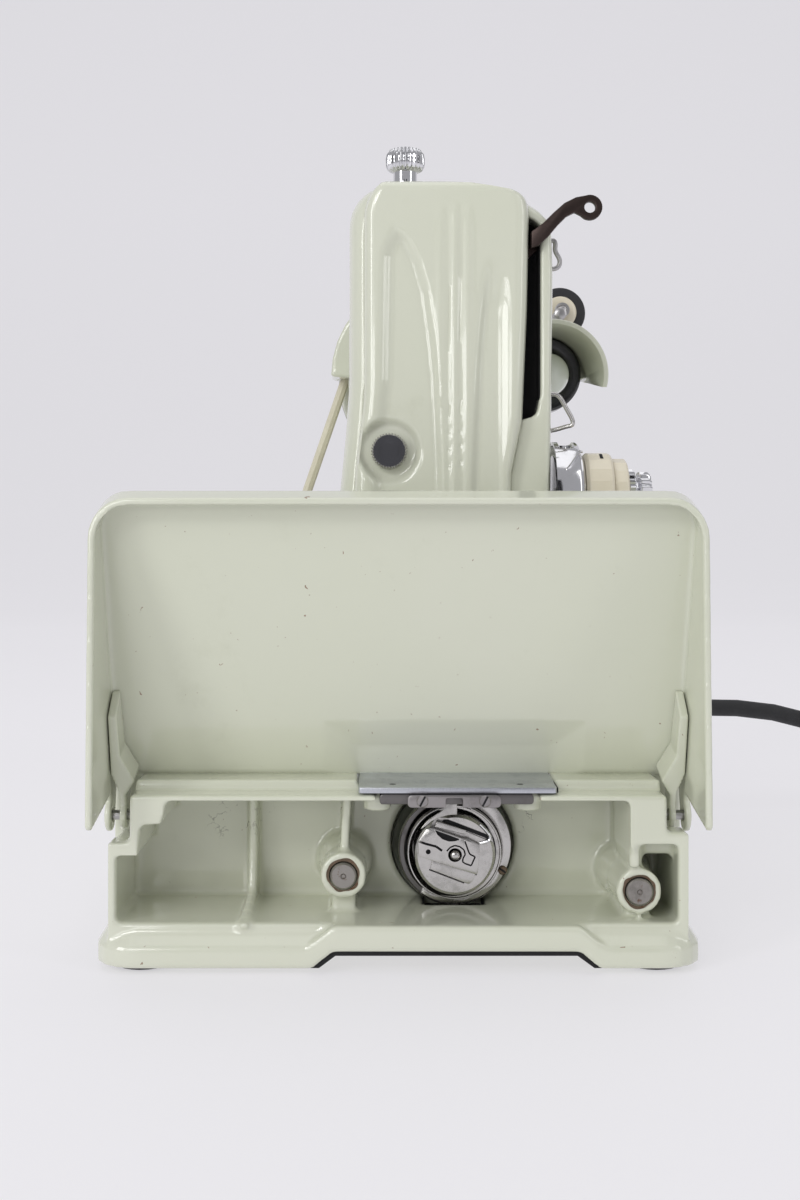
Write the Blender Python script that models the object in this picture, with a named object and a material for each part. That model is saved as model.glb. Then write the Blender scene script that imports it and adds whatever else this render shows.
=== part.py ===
"""Portable lock-stitch sewing machine with a folding bed leaf.

+X runs along the bed towards the handwheel, -Y is the operator's side, +Z is up, and the origin is on the
table under the middle of the bed. Dimensions below are millimetres; every mesh is scaled to metres as it is made.
"""

import math

import bmesh
import bpy
from mathutils import Matrix, Vector

MM = 0.001
GAP = 0.3  # clearance between pieces that touch

# Bed
BED_HALF_LENGTH = 140.0
PLINTH_HALF_WIDTH = 89.4
BODY_HALF_WIDTH = 88.0
END_HALF_WIDTH = 85.1  # the end walls stand inside the leaf's skirts
BODY_END = 136.0
PLINTH_BOTTOM = 1.8
LIP_TOP = 7.6
FLOOR_TOP = 14.2
FLOOR_UNDERSIDE = 7.0
BED_TOP = 54.4
TOP_THICKNESS = 4.0
SHELF_START = -125.5  # the bed top ends here and a rabbet runs on to the end wall
SHELF_Z = 51.6
CAVITY_BACK = -100.0
WALL = 3.0
RECESS_END = -109.0  # the body is narrower from here to the left end
NOTCH_Y = 78.8

# Leaf, in its own frame: u runs outward from the pivot when it lies level, w runs up
PIVOT = (-118.5, 42.8)
LEAF_FOLD = math.radians(71.3)
LEAF_START = 9.0
LEAF_END = 99.8
LEAF_TOP = 11.8
LEAF_UNDERSIDE = 9.6
LEAF_HALF_WIDTH = 88.6
SKIRT = 2.0
LOBE_RADIUS = 5.0

# Head and arm
HEAD_LEFT = -106.0
HEAD_RIGHT = -62.0
HEAD_REAR = 15.3
HEAD_FRONT = -49.6
SLOT_FRONT = -44.9  # the take-up slot lies between the front wall and the face plate
SLOT_BOTTOM = 165.7
SLOT_TOP = 228.5
HEAD_TOP = 239.7
HEAD_BOTTOM = 99.0
ARM_UNDERSIDE = 162.0
ARM_FRONT = -38.0
ARM_REAR = 8.0
SHAFT_Y = -17.4
ARM_SHAFT_Z = 201.5
PILLAR_LEFT = 62.0
PILLAR_RIGHT = 118.0

# Stitching parts
NEEDLE = (-94.0, -17.4)
PRESSER = (-94.0, -2.6)
HOOK = (-17.4, 30.6)
REAR_SHAFT = (16.4, 25.7)
FRONT_SHAFT = (-71.2, 22.6)
FEED_SHAFT_RADIUS = 3.97
HOOK_SHAFT_RADIUS = 4.0
PLATE_REAR = 11.7
PLATE_FRONT = -46.5
PLATE_UNDERSIDE = 52.4
STEP_TOP = 53.6  # the plate's left end is stepped down where the level leaf closes over it
STEP_UNDERSIDE = 52.2
PLATE_END = -135.8
PAN_END = 108.5

# Drive
WHEEL_RADIUS = 43.0
GROOVE_RADIUS = 35.0
SHIELD_RADIUS = 46.0
BELT_X = 122.0
MOTOR = (44.0, 106.0)
PULLEY_RADIUS = 8.0
BELT_RADIUS = 2.2
BELT_RISE = 2.6  # from the bottom of a groove to the middle of the belt
WINDER = (-78.7, 234.1)
WINDER_PIVOT = (-56.0, 200.0)

# Tension assembly and lamp
TENSION = (-90.0, 140.7)
LAMP = (-54.0, 185.5)

# Mains lead
CORD_DIAMETER = 8.0
CORD_X = 147.0
CORD_EXIT_Y = -148.0
CORD_ROUTE = [
    (147.0, -148.4, 46.0), (147.0, -165.0, 45.8), (147.0, -185.0, 43.4), (147.0, -205.0, 38.0),
    (147.0, -225.0, 30.0), (147.0, -245.0, 21.0), (147.0, -265.0, 13.0), (147.0, -283.0, 7.2),
    (147.0, -300.0, 4.6), (147.0, -318.0, 4.3), (147.0, -332.0, 4.3),
]
COIL_RADIUS = 44.8  # at the middle of the turns
COIL_COLUMNS = 3
COIL_CENTRE = (147.0 - COIL_RADIUS - CORD_DIAMETER, -361.5)
COIL_HEIGHT = 2 * CORD_DIAMETER

COLOURS = {
    "enamel": ((0.70, 0.75, 0.66, 1), 0.25, 0.0),
    "steel": ((0.42, 0.42, 0.44, 1), 0.35, 1.0),
    "dark_steel": ((0.12, 0.12, 0.13, 1), 0.45, 1.0),
    "chrome": ((0.75, 0.75, 0.76, 1), 0.1, 1.0),
    "bakelite": ((0.02, 0.02, 0.02, 1), 0.3, 0.0),
    "rubber": ((0.03, 0.03, 0.03, 1), 0.7, 0.0),
    "cream_plastic": ((0.78, 0.74, 0.62, 1), 0.35, 0.0),
    "glass": ((0.75, 0.82, 0.75, 1), 0.1, 0.0),
}


def clear_scene():
    for obj in list(bpy.data.objects):
        bpy.data.objects.remove(obj, do_unlink=True)


def material(name):
    """The Principled material of one of the machine's finishes."""
    found = bpy.data.materials.get(name)
    if found:
        return found
    colour, roughness, metallic = COLOURS[name]
    made = bpy.data.materials.new(name)
    made.use_nodes = True
    shader = made.node_tree.nodes["Principled BSDF"]
    shader.inputs["Base Color"].default_value = colour
    shader.inputs["Roughness"].default_value = roughness
    shader.inputs["Metallic"].default_value = metallic
    return made


# ---------------------------------------------------------------- outlines


def arc(centre, radius, start, end, steps):
    """Points on an arc, in degrees."""
    points = []
    for i in range(steps + 1):
        a = math.radians(start + (end - start) * i / steps)
        points.append((centre[0] + radius * math.cos(a), centre[1] + radius * math.sin(a)))
    return points


def rounded_rectangle(low, high, radius, steps=4):
    """A rectangle with round corners, anticlockwise."""
    points = []
    corners = [(high[0], high[1], 0), (low[0], high[1], 90), (low[0], low[1], 180), (high[0], low[1], 270)]
    for x, y, start in corners:
        cx = x - radius if x == high[0] else x + radius
        cy = y - radius if y == high[1] else y + radius
        points += arc((cx, cy), radius, start, start + 90, steps)
    return points


def circle(centre, radius, sides):
    return arc(centre, radius, 0, 360 * (sides - 1) / sides, sides - 1)


def mirrored(outline):
    """The outline with its first coordinate negated."""
    return [(-a, b) for a, b in reversed(outline)]


# ---------------------------------------------------------------- solids

AXES = {"X": (1, 2, 0), "Y": (0, 2, 1), "Z": (0, 1, 2)}  # where an outline's two coordinates and its depth go


def placed(axis, a, b, depth):
    point = [0.0, 0.0, 0.0]
    for slot, value in zip(AXES[axis], (a, b, depth)):
        point[slot] = value
    return Vector(point)


def solid(bm, name="solid", finish="enamel"):
    """A new object from a bmesh in millimetres, with its faces turned outward."""
    bmesh.ops.recalc_face_normals(bm, faces=bm.faces[:])
    mesh = bpy.data.meshes.new(name)
    bm.to_mesh(mesh)
    bm.free()
    obj = bpy.data.objects.new(name, mesh)
    obj.data.materials.append(material(finish))
    bpy.context.scene.collection.objects.link(obj)
    return obj


def loft(loops, name="solid"):
    """A closed solid skinned over loops of equal length."""
    bm = bmesh.new()
    rings = [[bm.verts.new(p) for p in loop] for loop in loops]
    count = len(rings[0])
    for near, far in zip(rings, rings[1:]):
        for i in range(count):
            j = (i + 1) % count
            bm.faces.new((near[i], near[j], far[j], far[i]))
    bm.faces.new(rings[0])
    bm.faces.new(rings[-1])
    return solid(bm, name)


def prism(axis, outline, low, high):
    """An outline extruded along an axis. Outline coordinates are (y,z) for X, (x,z) for Y, (x,y) for Z."""
    return loft([[placed(axis, a, b, depth) for a, b in outline] for depth in (low, high)])


def box(low, high):
    outline = [(low[0], low[1]), (high[0], low[1]), (high[0], high[1]), (low[0], high[1])]
    return prism("Z", outline, low[2], high[2])


def turned(axis, centre, profile, sides=24):
    """A solid of revolution. The profile is (radius, depth) pairs along the axis; a closed ring has no radius of 0."""
    rings = []
    for radius, depth in profile:
        rings.append([placed(axis, a, b, depth) for a, b in circle(centre, radius, sides)])
    return loft(rings)


def turned_ring(axis, centre, profile, sides=24):
    """A solid of revolution with a hole down its axis, from a closed profile of (radius, depth) pairs."""
    bm = bmesh.new()
    loops = []
    for radius, depth in profile:
        loops.append([bm.verts.new(placed(axis, a, b, depth)) for a, b in circle(centre, radius, sides)])
    for k, near in enumerate(loops):
        far = loops[(k + 1) % len(loops)]
        for i in range(sides):
            j = (i + 1) % sides
            bm.faces.new((near[i], near[j], far[j], far[i]))
    return solid(bm)


def ring(axis, centre, inner, outer, low, high, sides=24):
    """A plain tube with flat ends."""
    return turned_ring(axis, centre, [(outer, low), (outer, high), (inner, high), (inner, low)], sides)


def loop_tube(points, radius, sides=8):
    """A round bar along a closed path in one plane across X."""
    bm = bmesh.new()
    path = [Vector(p) for p in points]
    rings = []
    for i, here in enumerate(path):
        along = (path[(i + 1) % len(path)] - path[i - 1]).normalized()
        side = Vector((1, 0, 0))
        other = along.cross(side)
        turn = [2 * math.pi * k / sides for k in range(sides)]
        rings.append([bm.verts.new(here + side * radius * math.cos(a) + other * radius * math.sin(a)) for a in turn])
    for k, near in enumerate(rings):
        far = rings[(k + 1) % len(rings)]
        for i in range(sides):
            j = (i + 1) % sides
            bm.faces.new((near[i], near[j], far[j], far[i]))
    return solid(bm)


def tube(points, radius, name="tube", sides=8):
    """A round bar along a path of points, with flat ends."""
    path = [Vector(p) for p in points]
    loops = []
    side = None
    for i, here in enumerate(path):
        along = (path[min(i + 1, len(path) - 1)] - path[max(i - 1, 0)]).normalized()
        if side is None:
            side = along.orthogonal().normalized()
        side = (side - along * side.dot(along)).normalized()
        other = along.cross(side)
        turn = [2 * math.pi * k / sides for k in range(sides)]
        loops.append([here + side * radius * math.cos(a) + other * radius * math.sin(a) for a in turn])
    return loft(loops, name)


def combined(target, tool, operation):
    """Applies a boolean to the target and removes the tool."""
    change = target.modifiers.new("change", "BOOLEAN")
    change.operation = operation
    change.solver = "EXACT"
    change.object = tool
    bpy.context.view_layer.update()
    graph = bpy.context.evaluated_depsgraph_get()
    mesh = bpy.data.meshes.new_from_object(target.evaluated_get(graph))
    target.modifiers.clear()
    target.data = mesh
    bpy.data.objects.remove(tool, do_unlink=True)
    return target


def cut(target, *tools):
    for tool in tools:
        combined(target, tool, "DIFFERENCE")
    return target


def joined(target, *tools):
    for tool in tools:
        combined(target, tool, "UNION")
    return target


def kept(target, *tools):
    for tool in tools:
        combined(target, tool, "INTERSECT")
    return target


def node(name, obj, finish, parent=None, pivot=(0, 0, 0)):
    """Names a finished solid, gives it its material, scales it to metres and sets its origin on its pivot."""
    obj.name = name
    obj.data.name = name
    obj.data.materials.clear()
    obj.data.materials.append(material(finish))
    obj.data.transform(Matrix.Translation([-p for p in pivot]))
    obj.data.transform(Matrix.Scale(MM, 4))
    obj.location = [p * MM for p in pivot]
    obj.data.polygons.foreach_set("use_smooth", [True] * len(obj.data.polygons))
    obj.data.set_sharp_from_angle(angle=math.radians(35))
    if parent:
        bpy.context.view_layer.update()
        obj.parent = parent
        obj.matrix_parent_inverse = parent.matrix_world.inverted()
    return obj


# ---------------------------------------------------------------- bed


def plinth():
    """The flange round the foot of the bed, with a raised arch in the middle of every side."""
    low = rounded_rectangle((-BED_HALF_LENGTH, -PLINTH_HALF_WIDTH), (BED_HALF_LENGTH, PLINTH_HALF_WIDTH), 12)
    high = rounded_rectangle((-134, -END_HALF_WIDTH), (134, END_HALF_WIDTH), 8)
    levels = ((low, PLINTH_BOTTOM), (low, LIP_TOP), (high, FLOOR_TOP))
    return loft([[Vector((x, y, z)) for x, y in loop] for loop, z in levels])


def end_riser(low, high):
    """The raised middle of an end lip."""
    return prism("X", [(28.8, LIP_TOP - 1), (19, FLOOR_TOP), (-52.8, FLOOR_TOP), (-62.2, LIP_TOP - 1)], low, high)


def end_arch(low, high):
    """The clearance under the raised middle of an end lip."""
    return prism("X", [(28.8, -1), (19, 6.8), (-52.8, 6.8), (-62.2, -1)], low, high)


def side_arch(side):
    outline = [(-84, -1), (-74, 6.8), (74, 6.8), (84, -1)]
    return prism("Y", outline, side * 84.5 - 6, side * 84.5 + 6)


def bed_body():
    """The walls and top: full width, narrower at the left end."""
    corner = 10
    main = [(RECESS_END, -BODY_HALF_WIDTH)]
    main += arc((BODY_END - corner, -BODY_HALF_WIDTH + corner), corner, 270, 360, 5)
    main += arc((BODY_END - corner, BODY_HALF_WIDTH - corner), corner, 0, 90, 5)
    main += [(RECESS_END, BODY_HALF_WIDTH), (RECESS_END, END_HALF_WIDTH), (-BODY_END, END_HALF_WIDTH)]
    main += [(-BODY_END, -END_HALF_WIDTH), (RECESS_END, -END_HALF_WIDTH)]
    return prism("Z", main, LIP_TOP - 2, BED_TOP)


def left_cavity():
    """The opening in the left end, stepped at the rear round the leaf's hinge."""
    outline = [(82.7, FLOOR_TOP), (82.7, 34.0), (76.5, 34.0), (75.6, 42.5), (69.3, 43.2), (68.1, 49.8)]
    outline += [(-68.0, 49.8), (-68.0, 36.0), (-71.0, 32.5), (-82.0, 32.5), (-82.0, FLOOR_TOP)]
    cavity = prism("X", outline, -141, CAVITY_BACK)
    window = [(-69, 30), (-69, 37.2), (-82, 37.2), (-82, 30)]
    return joined(cavity, prism("X", window, -141, -127))


def divider():
    """The web across the rear of the cavity, its edge scooped in an arc."""
    outline = [(CAVITY_BACK + 1, FLOOR_TOP - 1), (-138.5, FLOOR_TOP - 1), (-138.0, FLOOR_TOP + 0.4)]
    outline += arc((-150.5, 37.0), 42.5, -32.4, 16.6, 8)[1:]
    outline += [(CAVITY_BACK + 1, 50.4)]
    return prism("Y", outline, 43.65, 46.35)


def shaft_boss(centre, radius, face):
    """A boss with its pedestal and the rib above it."""
    y, z = centre
    boss = turned("X", centre, [(radius, face), (radius, -112), (radius + 2.2, CAVITY_BACK + 1)], 28)
    boss = joined(boss, box((face + 4, y - 3.6, FLOOR_TOP - 1), (CAVITY_BACK + 1, y + 3.6, z)))
    rib = [(y - 1.25, z + 3), (y + 1.25, z + 3), (y + 0.2, 50.2), (y - 2.3, 50.2)]
    return joined(boss, prism("X", rib, face + 3, CAVITY_BACK + 1))


def bearing_web(low, high):
    """A cross web inside the bed with bores for the shafts and a window for the feed bar."""
    web = box((low, -86, 16), (high, 86, BED_TOP - 2))
    for centre, radius in ((HOOK, HOOK_SHAFT_RADIUS), (REAR_SHAFT, FEED_SHAFT_RADIUS), (FRONT_SHAFT, FEED_SHAFT_RADIUS)):
        web = cut(web, prism("X", circle(centre, radius + GAP, 20), low - 1, high + 1))
    return cut(web, box((low - 1, -22, 44), (high + 1, -12, BED_TOP - TOP_THICKNESS)))


def bed_casting():
    bed = joined(plinth(), end_riser(-BED_HALF_LENGTH, -128), end_riser(128, BED_HALF_LENGTH), bed_body())
    inner = rounded_rectangle((CAVITY_BACK + WALL, -84.2), (132, 84.2), 7)
    bed = cut(bed, prism("Z", inner, -1, BED_TOP - TOP_THICKNESS))
    bed = cut(bed, left_cavity(), end_arch(-141, -97.5), end_arch(131, 141), side_arch(1), side_arch(-1))
    under = rounded_rectangle((-131, -64), (-97.5, 64), 5)
    bed = cut(bed, prism("Z", under, -1, FLOOR_UNDERSIDE))
    bed = joined(bed, divider(), bearing_web(-44, -40), bearing_web(84, 88))
    bed = joined(bed, box((PAN_END + 1, -84.5, PLINTH_BOTTOM), (133, 84.5, FLOOR_UNDERSIDE)))
    bed = joined(bed, shaft_boss(REAR_SHAFT, 6.9, -125), shaft_boss(FRONT_SHAFT, 6.7, -132))
    bed = joined(bed, box((-135, -71, 30), (CAVITY_BACK + 1, -68, 50.4)))
    for y in (6.2, -38.8):
        bed = joined(bed, prism("Z", circle((-124, y), 4.2, 16), 45.5, 51))
    bores = [prism("X", circle(c, FEED_SHAFT_RADIUS + GAP, 24), -141, -90) for c in (REAR_SHAFT, FRONT_SHAFT)]
    bed = cut(bed, *bores)
    bed = cut(bed, turned("X", HOOK, [(19.4, -103), (19.4, -90)], 40))
    bed = cut(bed, box((-112.5, HOOK[0] - 9.4, 5), (-99, HOOK[0] + 9.4, 16)))
    shelf = box((-141, -NOTCH_Y - 0.5, SHELF_Z), (SHELF_START, NOTCH_Y + 0.5, 60))
    notches = []
    for side, floor in ((1, 37.7), (-1, 40.7)):
        near, far = sorted((side * NOTCH_Y, side * 95))
        notches.append(box((-141, near, floor), (RECESS_END, far, 60)))
        notches.append(box((-125, near, 36.6), (RECESS_END, far, 45)))
    bed = cut(bed, shelf, *notches)
    bed = cut(bed, box((-141, PLATE_FRONT - GAP, PLATE_UNDERSIDE - GAP), (-80, PLATE_REAR + GAP, 60)))
    bed = cut(bed, box((-141, -41.2, 48.2), (-127.6, 6.4, 56)))
    bed = cut(bed, box((-122, -32, 45), (-86, -3, 56)), box((-129, -20.4, 49), (-121, -14.6, 53)))
    return node("bed_casting", bed, "enamel")


def drip_pan():
    """The tray that closes the underside, held by one thumb nut on the real machine."""
    outline = rounded_rectangle((CAVITY_BACK + WALL + 0.8, -83.4), (PAN_END, 83.4), 6)
    tray = prism("Z", outline, PLINTH_BOTTOM, 5.0)
    inner = rounded_rectangle((CAVITY_BACK + WALL + 2.8, -81.4), (PAN_END - 2, 81.4), 5)
    return node("drip_pan", cut(tray, prism("Z", inner, 3.0, 9)), "steel")


def rubber_feet():
    for end, x in (("left", -126.0), ("right", 122.0)):
        for side, y in (("rear", 76.0), ("front", -76.0)):
            pad = turned("Z", (x, y), [(8.0, 0), (9.0, 1.0), (9.0, PLINTH_BOTTOM - GAP)], 20)
            node(f"foot_{end}_{side}", pad, "rubber")


# ---------------------------------------------------------------- leaf


def leaf_point(u, w, y):
    """A point of the leaf in the machine's frame, with the leaf folded up."""
    lean = math.pi / 2 - LEAF_FOLD
    x = PIVOT[0] - u * math.sin(lean) + w * math.cos(lean)
    z = PIVOT[1] + u * math.cos(lean) + w * math.sin(lean)
    return Vector((x, y, z))


def skirt_outline():
    """One side wall of the leaf: deep at the hinge, shallow at the tip, with a lobe round the pivot."""
    outline = [(LEAF_START, LEAF_TOP), (LEAF_END - 1, LEAF_TOP), (LEAF_END, LEAF_TOP - 1), (LEAF_END, 2.6)]
    outline += arc((13.2, -29.9), 1.5, 288, 190, 3)
    outline += [(7.4, -1.5), (5.2, -1.0)]
    outline += arc((0, 0), LOBE_RADIUS, -14, -205, 9)
    return outline


def leaf_slab(outline, low, high):
    return loft([[leaf_point(u, w, y) for u, w in outline] for y in (low, high)])


def leaf_plate(low, high, inset, radius):
    """A plan of the leaf with round tip corners, between two heights."""
    half = LEAF_HALF_WIDTH - inset
    end = LEAF_END - inset
    plan = [(LEAF_START, -half)] + arc((end - radius, -half + radius), radius, 270, 360, 6)
    plan += arc((end - radius, half - radius), radius, 0, 90, 6) + [(LEAF_START, half)]
    return loft([[leaf_point(u, w, y) for u, y in plan] for w in (low, high)])


def extension_leaf():
    side = [(u, w) for u, w in skirt_outline()]
    shell = leaf_slab(side, -LEAF_HALF_WIDTH, LEAF_HALF_WIDTH)
    shell = kept(shell, wide_plan())
    inside = leaf_plate(-60, LEAF_UNDERSIDE, SKIRT, 9)
    shell = cut(shell, extended(inside))
    chamfer = [(LEAF_START - 1, LEAF_UNDERSIDE - 1), (LEAF_START + 1.06, LEAF_UNDERSIDE - 0.15)]
    chamfer += [(LEAF_START - 0.1, LEAF_UNDERSIDE + 0.8)]
    inner_half = LEAF_HALF_WIDTH - SKIRT - 0.5
    shell = cut(shell, leaf_slab(chamfer, -inner_half, inner_half))
    reach = PIVOT[0] - PLATE_END
    thin = STEP_TOP + GAP - PIVOT[1]
    relief = [(LEAF_START - 2, 9), (reach + 2.1, 9), (reach + 2.1, LEAF_UNDERSIDE - 0.05)]
    relief += [(reach + 0.4, thin), (LEAF_START - 2, thin)]
    shell = cut(shell, leaf_slab(relief, PLATE_FRONT - 0.6, PLATE_REAR + 0.6))
    bore = circle((0, 0), 1.5 + GAP, 12)
    shell = cut(shell, leaf_slab(bore, -100, 100))
    return shell


def wide_plan():
    """The plan of the whole leaf with its hinge lobes, used to round the tip corners."""
    plan = [(-12, -LEAF_HALF_WIDTH)] + arc((LEAF_END - 11, -LEAF_HALF_WIDTH + 11), 11, 270, 360, 6)
    plan += arc((LEAF_END - 11, LEAF_HALF_WIDTH - 11), 11, 0, 90, 6) + [(-12, LEAF_HALF_WIDTH)]
    return loft([[leaf_point(u, w, y) for u, y in plan] for w in (-60, 30)])


def extended(inside):
    """Opens the hinge end of the leaf's inside and leaves nothing between the side walls there."""
    half = LEAF_HALF_WIDTH - SKIRT
    edge = LEAF_START + 0.1
    gap = [(-20, -60), (edge, -60), (edge, 40), (-20, 40)]
    low = [(-20, -60), (LEAF_START + 0.8, -60), (LEAF_START + 0.8, LEAF_UNDERSIDE), (-20, LEAF_UNDERSIDE)]
    return joined(inside, leaf_slab(gap, -half, half), leaf_slab(low, -half, half))


def hinge_strap(side):
    """A flat strap on the inside of a skirt, cranked inward at its foot where the pin passes through it."""
    inner = LEAF_HALF_WIDTH - SKIRT - GAP
    crank = [(inner, 37), (inner - 2.4, 37), (inner - 3.0, 20), (79.3, 12.0), (82.1, 7.5), (82.1, -4.2)]
    crank += [(84.0, -4.2), (84.0, 8.0), (inner, 14.5)]
    across = [(side * y, u) for y, u in crank]
    if side < 0:
        across.reverse()
    strap = loft([[leaf_point(u, w, y) for y, u in across] for w in (-12, 12)])
    profile = [(37.5, LEAF_UNDERSIDE - GAP), (33, -0.6), (12, -1.6), (4.0, -1.6)]
    profile += arc((0, 0), 4.0, -35, -180, 6)
    profile += [(-3.0, 3.2), (9.8, LEAF_UNDERSIDE - GAP)]
    return kept(strap, leaf_slab(profile, -100, 100))


def hinge_pin(side):
    """The pin that joins the skirt's lobe and the strap to the bed's lug."""
    low, high = sorted((side * (NOTCH_Y + GAP), side * (LEAF_HALF_WIDTH + 0.4)))
    return prism("Y", circle(PIVOT, 1.5, 12), low, high)


def leaf_parts(hinge):
    pivot = (PIVOT[0], 0, PIVOT[1])
    node("extension_leaf", extension_leaf(), "enamel", hinge, pivot)
    for name, side in (("rear", 1), ("front", -1)):
        strap = hinge_strap(side)
        bore = prism("Y", circle(PIVOT, 1.5 + GAP, 12), -100, 100)
        node(f"hinge_strap_{name}", cut(strap, bore), "enamel", hinge, pivot)
        node(f"hinge_pin_{name}", hinge_pin(side), "steel")


# ---------------------------------------------------------------- head and arm


def head_outline(inset=0.0):
    """The head seen along the bed: flared at the rear foot, rounder at the rear top corner."""
    rear, front, top = HEAD_REAR - inset, HEAD_FRONT + inset * 0.3, HEAD_TOP - inset
    bottom = HEAD_BOTTOM + inset * 0.3
    outline = [(front + 1.2, bottom), (rear + 3.0, bottom), (rear + 3.0, 142)]
    outline += [(rear + 1.2, 160), (rear, 176)]
    outline += arc((rear - 13, top - 13), 13, 0, 90, 5)
    outline += [(-24, top - 0.6)]
    shoulder = ((-30, 237.8, 1.0), (-36, 236.9, 1.0), (-39.5, 235.2, 0.9), (-44.7, 231.4, 0.6), (-47.6, 228.0, 0.4))
    outline += [(y, z - inset * share) for y, z, share in shoulder]
    return outline + [(front + 0.4, 223), (front, 212)]


def head_hollow():
    """The inside of the head, its front wall thick where the take-up slot runs down beside it."""
    outline = [p for p in head_outline(6.0) if p[0] > -30]
    outline += [(-35, HEAD_TOP - 9), (-40, HEAD_TOP - 11), (SLOT_FRONT, SLOT_TOP - 2.5), (SLOT_FRONT, 172)]
    outline += [(-43.6, SLOT_BOTTOM), (-38.5, SLOT_BOTTOM - 1.5), (-35, 147), (-35, HEAD_BOTTOM + 3)]
    return outline


def arm_outline():
    """The arm and pillar from the operator's side."""
    outline = [(HEAD_RIGHT - 4, 163), (HEAD_RIGHT - 4, 236.5), (20, 232), (80, 229), (112, 226), (PILLAR_RIGHT, 216)]
    outline += [(PILLAR_RIGHT, BED_TOP + GAP), (PILLAR_LEFT - 6, BED_TOP + GAP), (PILLAR_LEFT - 2, 70)]
    outline += arc((PILLAR_LEFT - 26, ARM_UNDERSIDE - 24), 24, 0, 90, 6)
    return outline


def shield():
    """The round end of the arm that hides the top of the belt; below it the belt runs free."""
    outline = arc((SHAFT_Y, ARM_SHAFT_Z), SHIELD_RADIUS, 0, 180, 18)
    outline += [(SHAFT_Y - 34, 186), (ARM_FRONT + 1, 150), (ARM_REAR - 1, 150), (13, ARM_SHAFT_Z - 1)]
    return prism("X", outline, PILLAR_RIGHT - 12, 127)


def winder_lug():
    """The lug and stud on the arm's front that the winder bracket swings on."""
    y, z = WINDER_PIVOT
    lug = joined(box((92, y, z - 6), (98, ARM_FRONT + 3, z + 6)), prism("X", circle(WINDER_PIVOT, 6, 20), 92, 98))
    return joined(lug, prism("X", circle(WINDER_PIVOT, 2.2, 12), 97, 104.4))


def arm_casting():
    """The hollow head, the arm and the pillar in one casting, open at the face and at the belt end."""
    casting = prism("Y", arm_outline(), -80, 60)
    section = rounded_rectangle((ARM_FRONT, BED_TOP), (ARM_REAR, 245), 12, 4)
    casting = kept(casting, prism("X", section, -200, 200))
    stages = ((4.4, HEAD_LEFT + 2.3), (2.6, -102.4), (1.0, -99.6), (0.2, -96.8), (0.0, -95), (0.0, HEAD_RIGHT))
    head = loft([[Vector((x, y, z)) for y, z in head_outline(inset)] for inset, x in stages])
    casting = joined(casting, head, shield(), winder_lug())
    casting = cut(casting, prism("X", head_hollow(), HEAD_LEFT - 5, HEAD_RIGHT - 3))
    casting = cut(casting, prism("X", rounded_rectangle((-34, 166), (4, 222), 9, 3), HEAD_RIGHT - 5, 108))
    pocket = arc((SHAFT_Y, ARM_SHAFT_Z), SHIELD_RADIUS - 3, 0, 180, 18)
    pocket += [(SHAFT_Y - SHIELD_RADIUS + 3, 140), (40, 140)]
    casting = cut(casting, prism("X", pocket, PILLAR_RIGHT - 0.5, 130))
    casting = cut(casting, prism("X", circle((SHAFT_Y, ARM_SHAFT_Z), 7.5, 20), 100, 125))
    casting = cut(casting, prism("Z", rounded_rectangle((68, -34), (112, 4), 6, 3), 50, 170))
    casting = cut(casting, prism("Z", circle(PRESSER, 3.5 + GAP, 16), 230, 250))
    for (x, y), radius in ((NEEDLE, 3.2), (PRESSER, 3.5)):
        casting = cut(casting, prism("Z", circle((x, y), radius + GAP, 16), 90, 110))
    casting = cut(casting, prism("Y", circle(TENSION, 2.6, 14), -60, -30))
    for x, z in ((-96, 173.0), (-94, 162.0)):
        casting = cut(casting, prism("Y", circle((x, z), 1.3, 10), HEAD_FRONT - 1, HEAD_FRONT + 2.6))
    casting = cut(casting, box((89.5, -50, 92), (94.5, -30, 120)))
    return node("arm_casting", casting, "enamel")


def cover_outline(inset):
    outline = [p for p in head_outline(inset) if p[0] > -30]
    outline += [(-35, 236.6 - inset), (-39.5, 235.2 - inset * 0.9)]
    outline += [(-41.3, SLOT_TOP), (-40.7, 198.4), (-39.1, SLOT_BOTTOM), (-37.6, SLOT_BOTTOM - 3), (-34.4, 147)]
    return outline + [(-34.0, HEAD_BOTTOM + 0.6 + inset * 0.3)]


def face_plate():
    """The cover of the head's left side, fluted down the middle; the take-up slot runs down its front edge."""
    stages = ((6.6, HEAD_LEFT), (4.6, HEAD_LEFT + 2.0))
    plate = loft([[Vector((x, y, z)) for y, z in cover_outline(inset)] for inset, x in stages])
    crown = [(7, 114), (-31, 114), (-37, 160), (-38.5, 222), (-30, 230), (1, 230), (7, 222)]
    dome = loft([[Vector((HEAD_LEFT + 0.5, y, z)) for y, z in crown],
                 [Vector((HEAD_LEFT - 1.2, y * 0.8 - 3, 174 + (z - 174) * 0.88)) for y, z in crown]])
    plate = joined(plate, dome)
    for y in (-22.5, -17.2, -11.9):
        flute = [(y - 1.1, 104), (y + 1.1, 104), (y + 0.9, 231), (y - 0.9, 231)]
        plate = joined(plate, prism("X", flute, HEAD_LEFT - 2.3, HEAD_LEFT + 0.5))
    plate = cut(plate, prism("X", circle((2.6, 154.1), 7.6, 24), HEAD_LEFT - 4, HEAD_LEFT + 0.6))
    plate = cut(plate, prism("X", circle((2.6, 154.1), 2.0 + GAP, 12), HEAD_LEFT - 4, HEAD_LEFT + 4))
    return node("face_plate", plate, "enamel")


def face_plate_screw():
    profile = [(1.9, HEAD_LEFT + 5), (1.9, HEAD_LEFT + 0.3), (5.7, HEAD_LEFT + 0.3), (5.7, HEAD_LEFT - 3.4)]
    profile += [(5.0, HEAD_LEFT - 4.2)]
    screw = turned("X", (2.6, 154.1), profile, 24)
    return node("face_plate_screw", screw, "chrome", pivot=(HEAD_LEFT, 2.6, 154.1))


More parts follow.
